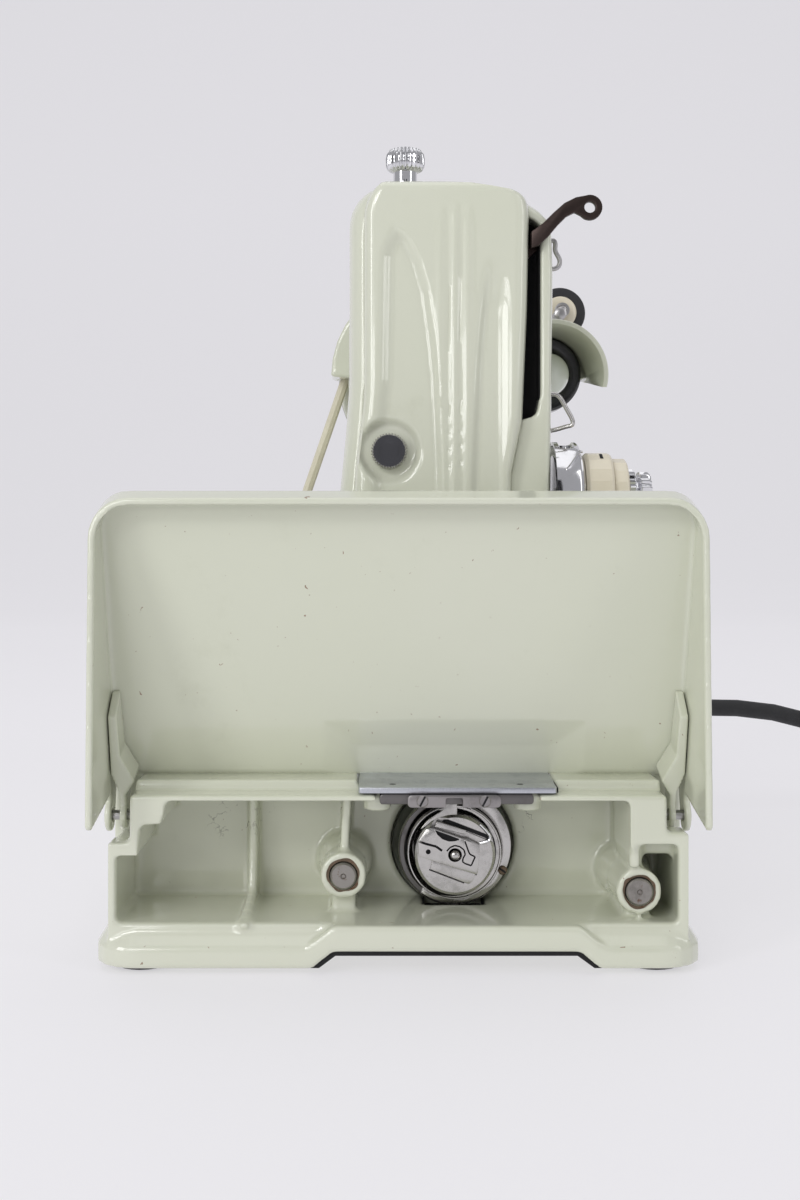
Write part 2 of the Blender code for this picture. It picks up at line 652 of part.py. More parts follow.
def take_up_lever():
    """A flat lever beside the head's front wall, its foot running back through the slot."""
    blade = [(-41.8, 222.9), (-41.8, 218.4), (-45.4, 220.5), (-51.4, 227.1), (-55.0, 229.2)]
    blade += arc((-60.2, 230.5), 3.8, 320, 60, 8)[::-1][:0] + [(-57.2, 228.0)]
    blade += arc((-60.2, 230.5), 3.8, -60, -300, 9)
    blade += [(-53.2, 232.8), (-49.6, 229.8), (-46.0, 226.2)]
    lever = prism("X", blade, -106.6, -104.3)
    lever = cut(lever, prism("X", circle((-60.2, 230.5), 1.6, 12), -110, -100))
    foot = box((-105.0, -44.5, 218.6), (-96.0, -41.8, 222.8))
    inner = prism("X", [(-44.5, 222.8), (-44.5, 218.6), (-30.0, 206.0), (-27.0, 210.0)], -98.4, -96.0)
    return node("take_up_lever", joined(lever, foot, inner), "dark_steel", pivot=(-105.4, -43.2, 220.7))


def top_hardware():
    """The knurled pressure screw and the spool pin on top of the arm."""
    screw = [(3.4, 232), (3.4, 246.0), (5.6, 246.4), (6.1, 247.4), (5.9, 250.8), (5.0, 252.2), (2.5, 252.4)]
    node("pressure_screw", turned("Z", PRESSER, screw, 24), "chrome", pivot=(*PRESSER, HEAD_TOP))
    pin = [(5.0, 230.4), (5.0, 232.4), (2.2, 232.4), (1.6, 262), (0.8, 263.4)]
    node("spool_pin", turned("Z", (70, -15.0), pin, 14), "chrome")


def bars():
    """The needle bar and presser bar groups, and the lifter behind the head."""
    nx, ny = NEEDLE
    px, py = PRESSER
    node("needle_bar", turned("Z", NEEDLE, [(3.2, 92.3), (3.2, 205)], 16), "steel")
    clamp = turned("Z", NEEDLE, [(3.2, 84.0), (5.2, 84.6), (5.2, 91.0), (3.6, 92.0)], 18)
    clamp = joined(clamp, prism("X", circle((ny, 87.8), 2.6, 14), nx - 11, nx - 4))
    node("needle_clamp", clamp, "chrome")
    needle = [(0.3, 60.5), (0.45, 63), (0.45, 71), (1.0, 72.5), (1.0, 83.7)]
    node("needle", turned("Z", NEEDLE, needle, 8), "steel")
    node("presser_bar", turned("Z", PRESSER, [(3.0, 72), (3.5, 72.6), (3.5, 214)], 16), "steel")
    foot = box((px - 4.5, py + 3.9, 62), (px + 4.5, py + 6.6, 84))
    foot = joined(foot, box((px - 4.5, py - 3.4, 62), (px + 4.5, py + 6.6, 66)))
    toe = [(py + 2, 62.5), (py + 2, 55.2), (py - 26, 55.2), (py - 30, 58.6), (py - 30.4, 60.2), (py - 25, 57.2)]
    toe += [(py - 4, 57.6), (py - 3, 62.5)]
    foot = joined(foot, prism("X", toe, px - 8.5, px + 8.5))
    foot = cut(foot, box((px - 2.2, py - 34, 50), (px + 2.2, py - 10, 64)))
    foot = cut(foot, prism("Y", circle((px, 77.5), 1.9, 12), py + 2, py + 8))
    node("presser_foot", foot, "chrome")
    screw = turned("Y", (px, 77.5), [(1.6, py + 4.0), (1.6, py + 6.9), (4.3, py + 6.9), (4.3, py + 10)], 18)
    node("presser_foot_screw", screw, "chrome")
    rear = HEAD_REAR + 3.0
    outline = [(rear + 0.4, 128), (rear + 3.6, 126), (rear + 5.5, 112), (rear + 14, 101), (rear + 11.4, 99)]
    outline += [(rear + 2.2, 110), (rear + 0.4, 122)]
    lifter = prism("X", outline, px - 4, px + 4)
    lifter = joined(lifter, prism("Y", circle((px, 126), 5, 16), rear + 0.4, rear + 3.2))
    node("presser_lifter", lifter, "chrome", pivot=(px, rear + 1.8, 126))


# ---------------------------------------------------------------- stitching parts under the bed


def needle_plate():
    plate = box((SHELF_START + 0.2, PLATE_FRONT, PLATE_UNDERSIDE), (-81, PLATE_REAR, BED_TOP))
    step = box((PLATE_END, PLATE_FRONT, STEP_UNDERSIDE), (SHELF_START + 0.6, PLATE_REAR, STEP_TOP))
    plate = joined(plate, step)
    for x in (-99.5, -88.5):
        plate = cut(plate, box((x - 1.9, -31, 50), (x + 1.9, -4, 56)))
    plate = cut(plate, prism("Z", circle(NEEDLE, 1.5, 12), 50, 56))
    for y in (1.6, -36.2):
        plate = cut(plate, prism("Z", circle((-131, y), 1.4, 12), STEP_TOP - 0.6, 56))
    node("needle_plate", plate, "steel")


def feed_parts():
    """The feed dog with its bar, and the two rocking shafts that drive it."""
    dog = box((-101.2, -27, 49.7), (-86.9, -7, 51.4))
    for x in (-99.5, -88.5):
        dog = joined(dog, box((x - 1.3, -27, 50.5), (x + 1.3, -7, 54.2)))
    dog = cut(dog, prism("Z", circle(NEEDLE, 3.0, 14), 45, 53))
    dog = joined(dog, box((-88.5, -20, 46.2), (-86.4, -14, 50.5)), box((-88.5, -20, 46.2), (-30, -14, 49.2)))
    node("feed_dog", dog, "steel", pivot=(-94, -17, 50))
    shaft = turned("X", FRONT_SHAFT, [(FEED_SHAFT_RADIUS, -133.2), (FEED_SHAFT_RADIUS, -20)], 20)
    node("feed_rock_shaft", shaft, "steel", pivot=(-80, *FRONT_SHAFT))
    shaft = turned("X", REAR_SHAFT, [(FEED_SHAFT_RADIUS, -126.2), (FEED_SHAFT_RADIUS, -20)], 20)
    node("feed_lift_shaft", shaft, "steel", pivot=(-80, *REAR_SHAFT))


def bracket_parts():
    """The bar under the needle plate and the clip that holds the bobbin-case base still."""
    bracket = box((-135.6, -39.7, 49.1), (-128.2, 5.5, STEP_UNDERSIDE - GAP))
    clip = box((-138.2, -30.0, 48.3), (-135.3, -2.8, STEP_UNDERSIDE - GAP))
    clip = cut(clip, box((-140, -19.3, 47), (-134, -11.4, 51.0)))
    bracket = joined(bracket, clip, box((-129, -20, 49.6), (-113, -15, 51.6)))
    bracket = joined(bracket, box((-115.6, -20, 46.6), (-113, -15, 51)))
    for y in (-7.0, -25.4):
        bracket = joined(bracket, turned("X", (y, 50.3), [(1.5, -139.4), (1.9, -139.0), (1.9, -138.0)], 14))
    node("position_bracket", bracket, "dark_steel")


def hook_parts():
    """Shaft, rotating hook with its gib, the still bobbin-case base, the bobbin case, its latch and the bobbin."""
    y, z = HOOK
    turning = (-100, y, z)
    shaft = turned("X", HOOK, [(HOOK_SHAFT_RADIUS, -98.8), (HOOK_SHAFT_RADIUS, 92), (3.0, 93)], 20)
    node("hook_shaft", shaft, "steel", pivot=turning)
    hook = [(18.6, -107), (18.6, -97.5), (17.5, -96.5), (4.3, -96.5), (4.3, -99.4), (15.6, -99.4), (15.6, -107)]
    node("rotating_hook", turned_ring("X", HOOK, hook, 36), "dark_steel", pivot=turning)
    gib = prism("X", circle(HOOK, 17.3, 40), -111.0, -107.3)
    gib = cut(gib, prism("X", circle((y + 0.5, z), 15.4, 40), -114, -105))
    node("hook_gib", gib, "steel", pivot=turning)
    base = [(14.5, -115), (14.5, -99.8), (1.6, -99.8), (1.6, -101.8), (12.8, -101.8), (12.8, -115)]
    holder = turned_ring("X", HOOK, base, 36)
    prongs = [box((-115, low, z + 12.9), (-111.5, low + 2.2, 48.6)) for low in (y - 5.1, y + 2.7)]
    holder = joined(holder, *prongs)
    stud = turned("X", HOOK, [(1.8, -118.6), (1.8, -100.5)], 12)
    node("bobbin_case_base", joined(holder, stud), "steel")
    case = [(12.4, -118.9), (12.4, -103.0), (11.3, -103.0), (11.3, -117.6), (3.2, -117.6), (3.2, -105.0)]
    case += [(2.3, -105.0), (2.3, -119.3), (11.8, -119.3)]
    node("bobbin_case", turned_ring("X", HOOK, case, 32), "steel")
    spool = [(10.4, -116.6), (10.4, -115.8), (4.6, -115.4), (4.6, -105.6), (10.4, -105.2), (10.4, -104.4)]
    spool += [(3.6, -104.4), (3.6, -116.6)]
    node("bobbin", turned_ring("X", HOOK, spool, 24), "steel", pivot=(-110, y, z))
    latch = latch_plate()
    hinge = latch_hinge()
    node("bobbin_case_latch", latch, "steel", pivot=tuple(hinge))


LATCH_TILT = math.radians(20.6)


def latch_place(along, across, x):
    """A point of the bobbin-case latch: along its length towards the operator, and across it."""
    y = HOOK[0] - along * math.cos(LATCH_TILT) + across * math.sin(LATCH_TILT)
    z = HOOK[1] - along * math.sin(LATCH_TILT) - across * math.cos(LATCH_TILT)
    return Vector((x, y, z))


def latch_hinge():
    return latch_place(8.0, 0.2, -120.25)


def latch_plate():
    outline = [(-11.2, -1.2), (-9.0, -3.6), (1.5, -3.6), (3.2, -2.4), (8.4, -3.0), (8.4, 3.4), (-9.5, 3.4)]
    plate = loft([[latch_place(a, b, x) for a, b in outline] for x in (-120.9, -119.6)])
    return cut(plate, prism("X", circle(HOOK, 2.2, 14), -125, -115))


# ---------------------------------------------------------------- drive


def drive_parts():
    """Arm shaft, handwheel, clutch knob, motor, pulley and belt."""
    centre = (SHAFT_Y, ARM_SHAFT_Z)
    turning = (130, *centre)
    node("arm_shaft", turned("X", centre, [(5.0, -84), (5.0, 141.6)], 20), "steel", pivot=turning)
    bottom, rim = GROOVE_RADIUS, GROOVE_RADIUS + 3.4
    wheel = [(5.3, 117.9), (rim, 117.9), (rim, BELT_X - 3.4), (bottom, BELT_X - 1.6), (bottom, BELT_X + 1.6)]
    wheel += [(rim, BELT_X + 3.4), (rim, 126.4), (WHEEL_RADIUS - 1.5, 128.0), (WHEEL_RADIUS, 129.5)]
    wheel += [(WHEEL_RADIUS, 139), (WHEEL_RADIUS - 2, 141), (36, 141), (34, 136.5), (18, 135), (15, 141.8), (5.3, 141.8)]
    node("handwheel", turned_ring("X", centre, wheel, 40), "enamel", pivot=turning)
    knob = [(12.0, 142.3), (13.0, 143.2), (13.0, 149.6), (11.0, 151.4), (3.0, 151.8)]
    node("clutch_knob", turned("X", centre, knob, 24), "chrome", pivot=turning)
    y, z = MOTOR
    body = [(16, 46), (22.5, 48.5), (24, 52), (24, 98), (20, 102.5), (8, 103.2)]
    motor = turned("X", MOTOR, body, 32)
    motor = joined(motor, box((64, ARM_REAR + GAP, z - 8), (88, y - 18, z + 8)))
    node("motor_body", motor, "enamel")
    bottom, rim = PULLEY_RADIUS, PULLEY_RADIUS + 3.2
    pulley = [(3.0, 103.6), (3.0, BELT_X - 5), (rim, BELT_X - 5), (rim, BELT_X - 3.4), (bottom, BELT_X - 1.6)]
    pulley += [(bottom, BELT_X + 1.6), (rim, BELT_X + 3.4), (rim, BELT_X + 4.4), (5, BELT_X + 5.4)]
    node("motor_pulley", turned("X", MOTOR, pulley, 24), "steel", pivot=(BELT_X, *MOTOR))
    node("drive_belt", loop_tube(belt_path(), BELT_RADIUS), "cream_plastic")


def belt_path():
    """The belt's middle line: two arcs joined by their outer tangents."""
    big, small = GROOVE_RADIUS + BELT_RISE, PULLEY_RADIUS + BELT_RISE
    start, end = (SHAFT_Y, ARM_SHAFT_Z), MOTOR
    span = math.hypot(end[0] - start[0], end[1] - start[1])
    heading = math.degrees(math.atan2(end[1] - start[1], end[0] - start[0]))
    wrap = math.degrees(math.acos((big - small) / span))
    path = arc(end, small, heading - wrap, heading + wrap, 9)
    path += arc(start, big, heading + wrap, heading - wrap + 360, 30)
    return [Vector((BELT_X, y, z)) for y, z in path]


def winder_parts():
    """Bobbin winder: a swinging bracket, the spindle and its rubber-tyred wheel."""
    py, pz = WINDER_PIVOT
    wy, wz = WINDER
    direction = Vector((wy - py, wz - pz)).normalized()
    across = Vector((-direction.y, direction.x))
    corners = [Vector((py, pz)) + across * 5, Vector((wy, wz)) + across * 5]
    corners += [Vector((wy, wz)) - across * 5, Vector((py, pz)) - across * 5]
    bracket = prism("X", [(c.x, c.y) for c in corners], 98.4, 102.8)
    bracket = joined(bracket, prism("X", circle(WINDER_PIVOT, 6, 20), 98.4, 102.8))
    bracket = joined(bracket, prism("X", circle(WINDER, 6, 20), 98.4, 112))
    bracket = cut(bracket, prism("X", circle(WINDER_PIVOT, 2.5, 12), 90, 110))
    bracket = cut(bracket, prism("X", circle(WINDER, 2.8, 12), 90, 120))
    node("winder_bracket", bracket, "steel", pivot=(100, *WINDER_PIVOT))
    spindle = [(1.2, 80), (2.5, 82), (2.5, 128.4), (7.5, 128.4), (7.5, 137.4), (3, 139)]
    node("winder_spindle", turned("X", WINDER, spindle, 20), "steel", pivot=(130, *WINDER))
    tyre = [(10.6, 129.0), (12.0, 130.4), (12.0, 135.4), (10.6, 136.8), (7.8, 136.8), (7.8, 129.0)]
    node("winder_tyre", turned_ring("X", WINDER, tyre, 28), "rubber", pivot=(130, *WINDER))


# ---------------------------------------------------------------- tension, lamp and controls


def tension_parts():
    """Tension frame with its post and disc pair, the numbered dials, the nut and the wire thread guide."""
    x, z = TENSION
    front = HEAD_FRONT
    frame = [(2.2, -82.6), (2.2, front - 7.0), (11.0, front - 6.8), (11.0, front - 6.4), (8.0, front - 5.0)]
    frame += [(11.0, front - 3.6), (11.0, front - 3.0), (6.0, front - 2.4), (16.8, front - 2.0), (16.8, front - GAP)]
    frame += [(2.2, front - GAP), (2.2, front + 8)]
    frame = turned("Y", TENSION, frame, 32)
    guard = cut(ring("Y", TENSION, 15.6, 16.8, front - 9.6, front - 1, 32), box((x - 20, -70, z - 20), (x + 20, front, z - 5)))
    node("tension_frame", joined(frame, guard), "chrome", pivot=(x, front, z))
    dial = [(2.6, -59.0), (13.0, -59.0), (13.9, -60.2), (13.9, -68.0), (13.0, -68.9), (11.6, -69.0), (11.6, -73.0)]
    dial += [(10.8, -73.8), (2.6, -73.8)]
    node("tension_dial", turned_ring("Y", TENSION, dial, 32), "cream_plastic", pivot=(x, front, z))
    nut = [(2.6, -74.1), (8.2, -74.1), (8.5, -75.0), (8.2, -76.4), (5.0, -76.6), (5.0, -77.0), (7.8, -77.4)]
    nut += [(7.6, -80.4), (6.0, -81.6), (2.6, -81.6)]
    node("tension_nut", turned_ring("Y", TENSION, nut, 24), "chrome", pivot=(x, front, z))
    wire = [(-96, front + 2, 173.0), (-96, -51.0, 172.4), (-96, -55.5, 163.8), (-95, -54.6, 162.4), (-94, front + 2, 162.0)]
    node("thread_guide", tube(wire, 0.8, sides=6), "steel")


def lamp_parts():
    """Half-round shade, black socket and bulb on the arm's front, behind the head."""
    y, z = LAMP
    shade = ring("X", LAMP, 17.2, 19.0, -60, 2, 40)
    keep = [(y + 1, z + 4), (y - 6, z - 3.5), (y - 30, z - 5.5), (y - 30, z + 30), (ARM_FRONT - GAP, z + 30)]
    keep += [(ARM_FRONT - GAP, z + 4)]
    shade = kept(shade, prism("X", keep, -70, 10))
    node("lamp_shade", shade, "enamel")
    socket = turned("X", LAMP, [(13.6, -16), (13.6, -4), (9, 0), (9, 8)], 32)
    socket = cut(socket, prism("X", circle(LAMP, 8.6, 24), -20, -2))
    socket = joined(socket, box((-14, y, z - 5), (-2, ARM_FRONT - GAP, z + 5)))
    socket = cut(socket, prism("X", circle(LAMP, 8.6, 24), -20, -2.2))
    node("lamp_socket", socket, "bakelite")
    bulb = [(3, -50), (6.4, -47), (7.6, -42), (7.6, -36), (7.0, -22), (7.0, -4)]
    node("lamp_bulb", turned("X", LAMP, bulb, 20), "glass")


def control_parts():
    """Stitch-length lever in its slotted plate, and the light switch on the bed's end."""
    lever = box((91.0, -44, 104.8), (93.0, -20, 107.2))
    lever = joined(lever, turned("Y", (92, 106), [(3.0, -52), (4.4, -50.5), (4.4, -46), (2.6, -43.5)], 16))
    node("stitch_lever", lever, "chrome", pivot=(92, -20, 106))
    switch = joined(box((BODY_END + GAP, 36, 26), (BODY_END + 9, 58, 46)), box((BODY_END + 8, 40, 29), (BODY_END + 10.5, 54, 43)))
    slot = box((BODY_END + 4, 44, 32), (BODY_END + 12, 50, 40))
    node("light_switch", cut(switch, slot), "bakelite")
    tab = prism("Y", [(BODY_END + 5.4, 34.6), (BODY_END + 12.5, 33.4), (BODY_END + 13.4, 36), (BODY_END + 12.5, 38.6),
                      (BODY_END + 5.4, 37.4)], 44.5, 49.5)
    node("switch_lever", tab, "bakelite", pivot=(BODY_END + 6.4, 47, 36))


# ---------------------------------------------------------------- mains lead


def smooth_route(points, step):
    """Evenly spaced points on a smooth curve through the route."""
    path = [Vector(p) for p in points]
    fine = []
    for i in range(len(path) - 1):
        before = path[max(i - 1, 0)]
        after = path[min(i + 2, len(path) - 1)]
        for k in range(16):
            t = k / 16
            a, b = path[i], path[i + 1]
            fine.append(0.5 * (2 * a + (b - before) * t + (2 * before - 5 * a + 4 * b - after) * t * t
                               + (3 * a - before - 3 * b + after) * t * t * t))
    fine.append(path[-1])
    spaced = [fine[0]]
    for point in fine[1:-1]:
        if (point - spaced[-1]).length >= step:
            spaced.append(point)
    return spaced + [fine[-1]]


def cord_tube(name, points):
    """A curve along the points with the cord's round section and filled ends."""
    curve = bpy.data.curves.new(name, "CURVE")
    curve.dimensions = "3D"
    curve.bevel_depth = CORD_DIAMETER / 2 * MM
    curve.bevel_resolution = 2
    curve.use_fill_caps = True
    spline = curve.splines.new("POLY")
    spline.points.add(len(points) - 1)
    for slot, point in zip(spline.points, points):
        slot.co = (*(point * MM), 1)
    cord = bpy.data.objects.new(name, curve)
    cord.data.materials.append(material("rubber"))
    bpy.context.scene.collection.objects.link(cord)


def mains_lead():
    """Terminal block, cord connector with its strain relief, the free cord, its coil and the wall plug."""
    block = box((BODY_END + GAP, -72, 35), (BODY_END + 21, -46, 57))
    node("terminal_block", cut(block, box((BODY_END + 4, -74, 38), (BODY_END + 18, -62, 54))), "bakelite")
    connector = prism("Y", rounded_rectangle((CORD_X - 6.6, 39.4), (CORD_X + 6.6, 52.6), 3, 3), -104, -63)
    collar = prism("Y", rounded_rectangle((CORD_X - 11, 36), (CORD_X + 11, 56), 4, 3), -106, -72.4)
    relief = turned("Y", (CORD_X, 46), [(5.0, CORD_EXIT_Y), (5.6, -140), (8.0, -108), (8.6, -105)], 20)
    node("cord_connector", joined(connector, collar, relief), "bakelite")
    cord_tube("mains_cord", smooth_route(CORD_ROUTE, 2.2 * CORD_DIAMETER))
    half = COIL_COLUMNS * CORD_DIAMETER / 2
    coil = ring("Z", COIL_CENTRE, COIL_RADIUS - half, COIL_RADIUS + half, GAP, GAP + COIL_HEIGHT, 40)
    node("cord_coil", coil, "rubber")
    wall_plug()


def wall_plug():
    """A two-pin plug lying beside the coil, on its tapered strain relief."""
    x = COIL_CENTRE[0] - COIL_RADIUS - CORD_DIAMETER
    y = COIL_CENTRE[1] + 31
    axis = (x, 12.6)
    body = turned("Y", axis, [(4.8, y + 0.6), (6.4, y + 24), (10.5, y + 27), (12.0, y + 33), (12.0, y + 50), (11.0, y + 52)], 24)
    for side in (-6.4, 6.4):
        pin = box((x + side - 0.8, y + 51, 9.4), (x + side + 0.8, y + 67, 15.8))
        body = joined(body, pin)
    node("wall_plug", body, "bakelite")


def main():
    clear_scene()
    bed_casting()
    drip_pan()
    rubber_feet()
    hinge = bpy.data.objects.new("leaf_hinge", None)
    hinge.location = (PIVOT[0] * MM, 0, PIVOT[1] * MM)
    bpy.context.scene.collection.objects.link(hinge)
    leaf_parts(hinge)
    arm_casting()
    face_plate()
    face_plate_screw()
    take_up_lever()
    top_hardware()
    bars()
    needle_plate()
    feed_parts()
    bracket_parts()
    hook_parts()
    drive_parts()
    winder_parts()
    tension_parts()
    lamp_parts()
    control_parts()
    mains_lead()


main()
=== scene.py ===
"""Looks of a pale green portable sewing machine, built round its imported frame.

Shapes are in millimetres in the frame's axes: +X along the bed, -Y the operator's side, +Z up.
piece() scales them to metres.
"""

from math import cos, exp, hypot, pi, radians, sin, sqrt

import bmesh
import bpy
from mathutils import Matrix, Vector, noise


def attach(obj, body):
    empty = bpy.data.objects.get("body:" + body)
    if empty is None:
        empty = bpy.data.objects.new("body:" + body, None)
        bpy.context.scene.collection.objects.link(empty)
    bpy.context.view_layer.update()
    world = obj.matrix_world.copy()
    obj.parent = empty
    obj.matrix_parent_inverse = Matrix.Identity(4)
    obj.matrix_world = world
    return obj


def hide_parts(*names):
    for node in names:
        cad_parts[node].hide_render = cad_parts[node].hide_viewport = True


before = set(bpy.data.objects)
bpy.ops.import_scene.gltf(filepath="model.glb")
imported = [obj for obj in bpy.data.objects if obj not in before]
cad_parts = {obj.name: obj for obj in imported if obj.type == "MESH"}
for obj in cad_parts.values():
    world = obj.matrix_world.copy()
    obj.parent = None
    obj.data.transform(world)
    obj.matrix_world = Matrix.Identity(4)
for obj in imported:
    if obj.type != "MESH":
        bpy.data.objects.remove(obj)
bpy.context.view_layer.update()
MM = 0.001

# Places on the machine
HEAD_LEFT = -106.0
HEAD_FRONT = -49.6
SHAFT = (-17.4, 201.5)
MOTOR = (44.0, 106.0)
HOOK = (-17.4, 30.6)
GIB_SCREW = (HOOK[0] - 15.0, HOOK[1] - 6.2)
GIB_SCREW_FACE = -112.2
GIB_SCREW_TURN = radians(35)
REAR_SHAFT = (16.4, 25.7)
FRONT_SHAFT = (-71.2, 22.6)
PIVOT = (-118.5, 42.8)
LEAF_FOLD = radians(71.3)
TENSION = (-90.0, 140.7)
LAMP = (-54.0, 185.5)
WINDER = (-78.7, 234.1)
WINDER_PIVOT = (-56.0, 200.0)
NEEDLE = (-94.0, -17.4)
PRESSER = (-94.0, -2.6)

# Mains lead: the same route as the frame's, then a coil of two layers
CORD_DIAMETER = 8.0
CORD_X = 147.0
ON_FLOOR = CORD_DIAMETER / 2 + 0.3
CORD_ROUTE = [(CORD_X, y, z) for y, z in (
    (-148.4, 46), (-165, 45.8), (-185, 43.4), (-205, 38), (-225, 30), (-245, 21), (-265, 13), (-283, 7.2),
    (-300, 4.6), (-318, ON_FLOOR), (-332, ON_FLOOR),
)]
COIL_RADIUS = 44.8
COIL_CENTRE = (CORD_X - COIL_RADIUS - CORD_DIAMETER, -361.5)


# ---- camera, lights and floor


def linked(name, data):
    """A new object of the scene."""
    obj = bpy.data.objects.new(name, data)
    bpy.context.scene.collection.objects.link(obj)
    return obj


def camera():
    """Level view of the machine's left end, just off its middle."""
    data = bpy.data.cameras.new("camera")
    data.lens = 44.5
    data.sensor_width = 36
    data.sensor_fit = "AUTO"
    data.shift_x = 0.0125
    data.shift_y = -0.0475
    data.clip_end = 20
    eye = linked("camera", data)
    eye.location = (-0.570, 0.0039, 0.1255)
    eye.rotation_euler = (radians(90), 0, radians(-90))
    bpy.context.scene.camera = eye


def softbox(name, place, target, width, height, power):
    """A rectangular light aimed at a target, in metres and watts."""
    data = bpy.data.lights.new(name, "AREA")
    data.shape = "RECTANGLE"
    data.size = width
    data.size_y = height
    data.energy = power
    lamp = linked(name, data)
    lamp.location = place
    lamp.rotation_euler = (Vector(target) - Vector(place)).to_track_quat("-Z", "Y").to_euler()


def studio():
    """Pale floor that curves up into a far wall, soft light from three sides, and two dark flags."""
    world = bpy.data.worlds.new("studio")
    world.use_nodes = True
    back = world.node_tree.nodes["Background"]
    back.inputs["Color"].default_value = (0.87, 0.87, 0.90, 1)
    back.inputs["Strength"].default_value = 0.48
    bpy.context.scene.world = world
    bpy.context.scene.view_settings.view_transform = "Standard"
    softbox("key", (-1.1, 1.0, 0.62), (0, 0, 0.12), 0.35, 0.9, 5.4)
    softbox("low", (-1.3, 0.5, 0.32), (0.02, 0, 0.04), 0.5, 0.12, 0.9)
    softbox("front", (-1.45, 0.55, 0.85), (-0.1, 0, 0.05), 0.5, 0.25, 3.2)
    softbox("fill", (-0.9, -1.2, 0.8), (0, 0, 0.12), 0.3, 1.1, 2.6)
    softbox("top", (-0.1, 0, 1.7), (0, 0, 0), 1.6, 1.6, 6.5)
    for side in (-1, 1):
        corners = [(-1.9, side * y, z) for y, z in ((0.22, 0.02), (0.5, 0.02), (0.5, 1.3), (0.22, 1.3))]
        flag = mesh_object("flag", corners, [(0, 1, 2, 3)])
        flag.data.materials.append(INSIDE.material())
    floor = mesh_object("floor", *sweep_floor())
    floor.data.materials.append(FLOOR.material())


def sweep_floor():
    """Corners and faces of the floor, its bend and the wall, in metres."""
    flat_end, bend, steps = 1.6, 0.8, 8
    profile = [(-3.0, 0.0), (flat_end, 0.0)]
    for k in range(1, steps + 1):
        angle = radians(90 * k / steps)
        profile.append((flat_end + bend * sin(angle), bend - bend * cos(angle)))
    profile.append((2.4, 4.0))
    verts = [(x, y, z) for x, z in profile for y in (-4.0, 4.0)]
    faces = [(2 * k, 2 * k + 2, 2 * k + 3, 2 * k + 1) for k in range(len(profile) - 1)]
    return verts, faces


def mesh_object(name, verts, faces):
    mesh = bpy.data.meshes.new(name)
    mesh.from_pydata(verts, [], faces)
    mesh.validate()
    mesh.polygons.foreach_set("use_smooth", [True] * len(mesh.polygons))
    return linked(name, mesh)


# ---- materials


class Recipe:
    """Builds one node material; every texture reads the object's own coordinates, in metres."""

    def __init__(self, name):
        self.made = bpy.data.materials.new(name)
        self.made.use_nodes = True
        self.nodes = self.made.node_tree.nodes
        self.links = self.made.node_tree.links
        self.shader = self.nodes["Principled BSDF"]
        self.coords = self.nodes.new("ShaderNodeTexCoord").outputs["Object"]

    def set(self, **values):
        for key, value in values.items():
            self.shader.inputs[key.replace("_", " ")].default_value = value
        return self

    def link(self, output, key):
        self.links.new(output, self.shader.inputs[key])

    def node(self, kind, inputs=None, **settings):
        made = self.nodes.new("ShaderNode" + kind)
        for key, value in settings.items():
            setattr(made, key, value)
        for key, value in (inputs or {}).items():
            if isinstance(value, bpy.types.NodeSocket):
                self.links.new(value, made.inputs[key])
            else:
                made.inputs[key].default_value = value
        return made

    def noise(self, scale, detail=4.0, roughness=0.55, stretch=None, distortion=0.0):
        source = self.coords
        if stretch:
            source = self.node("Mapping", {"Vector": source, "Scale": stretch}).outputs[0]
        inputs = {"Vector": source, "Scale": scale, "Detail": detail, "Roughness": roughness,
                  "Distortion": distortion}
        return self.node("TexNoise", inputs).outputs["Fac"]

    def ramp(self, value, low, high):
        """0 below low and 1 above high."""
        inputs = {"Value": value, "From Min": low, "From Max": high}
        return self.node("MapRange", inputs, interpolation_type="SMOOTHSTEP").outputs[0]

    def math(self, kind, a, b=0.0):
        return self.node("Math", {0: a, 1: b}, operation=kind).outputs[0]

    def mix(self, factor, a, b):
        return self.node("Mix", {0: factor, 6: a, 7: b}, data_type="RGBA").outputs[2]

    def blend(self, factor, low, high):
        """A number between low and high."""
        inputs = {"Value": factor, "To Min": low, "To Max": high}
        return self.node("MapRange", inputs).outputs[0]

    def bump(self, height, strength, distance):
        made = self.node("Bump", {"Height": height, "Strength": strength, "Distance": distance})
        self.link(made.outputs[0], "Normal")

    def near(self, centre, radius, soft):
        """1 inside a ball round a place given in millimetres, falling to 0 over the soft distance."""
        place = [c * MM for c in centre]
        offset = self.node("VectorMath", {0: self.coords, 1: place}, operation="DISTANCE")
        away = self.ramp(offset.outputs["Value"], radius * MM, (radius + soft) * MM)
        return self.math("SUBTRACT", 1.0, away)

    def edges(self, low, high):
        """1 on the mesh's convex edges."""
        return self.ramp(self.node("NewGeometry").outputs["Pointiness"], low, high)


RUST = (0.13, 0.055, 0.022, 1)
ENAMEL_COLOUR = (0.665, 0.684, 0.560, 1)


def enamel(name, wear=0.0, crackle=()):
    """Thick, faintly uneven enamel; wear chips its edges and crackle lists balls of hairline cracks."""
    r = Recipe(name)
    tone = r.noise(9.0, 3.0)
    colour = r.mix(r.ramp(tone, 0.35, 0.7), ENAMEL_COLOUR, (0.680, 0.694, 0.580, 1))
    grime = r.math("MULTIPLY", r.ramp(r.noise(45.0, 6.0, 0.7), 0.56, 0.8), 0.16)
    colour = r.mix(grime, colour, (0.42, 0.43, 0.30, 1))
    roughness = r.blend(r.noise(60.0, 3.0), 0.12, 0.24)
    if wear:
        colour, roughness = chipped(r, colour, roughness, wear)
    if crackle:
        colour = crackled(r, colour, crackle)
    r.link(colour, "Base Color")
    r.link(roughness, "Roughness")
    r.set(Coat_Weight=0.7, Coat_Roughness=0.05, IOR=1.5)
    r.bump(r.noise(260.0, 2.0), 0.05, 0.0004)
    return r.made


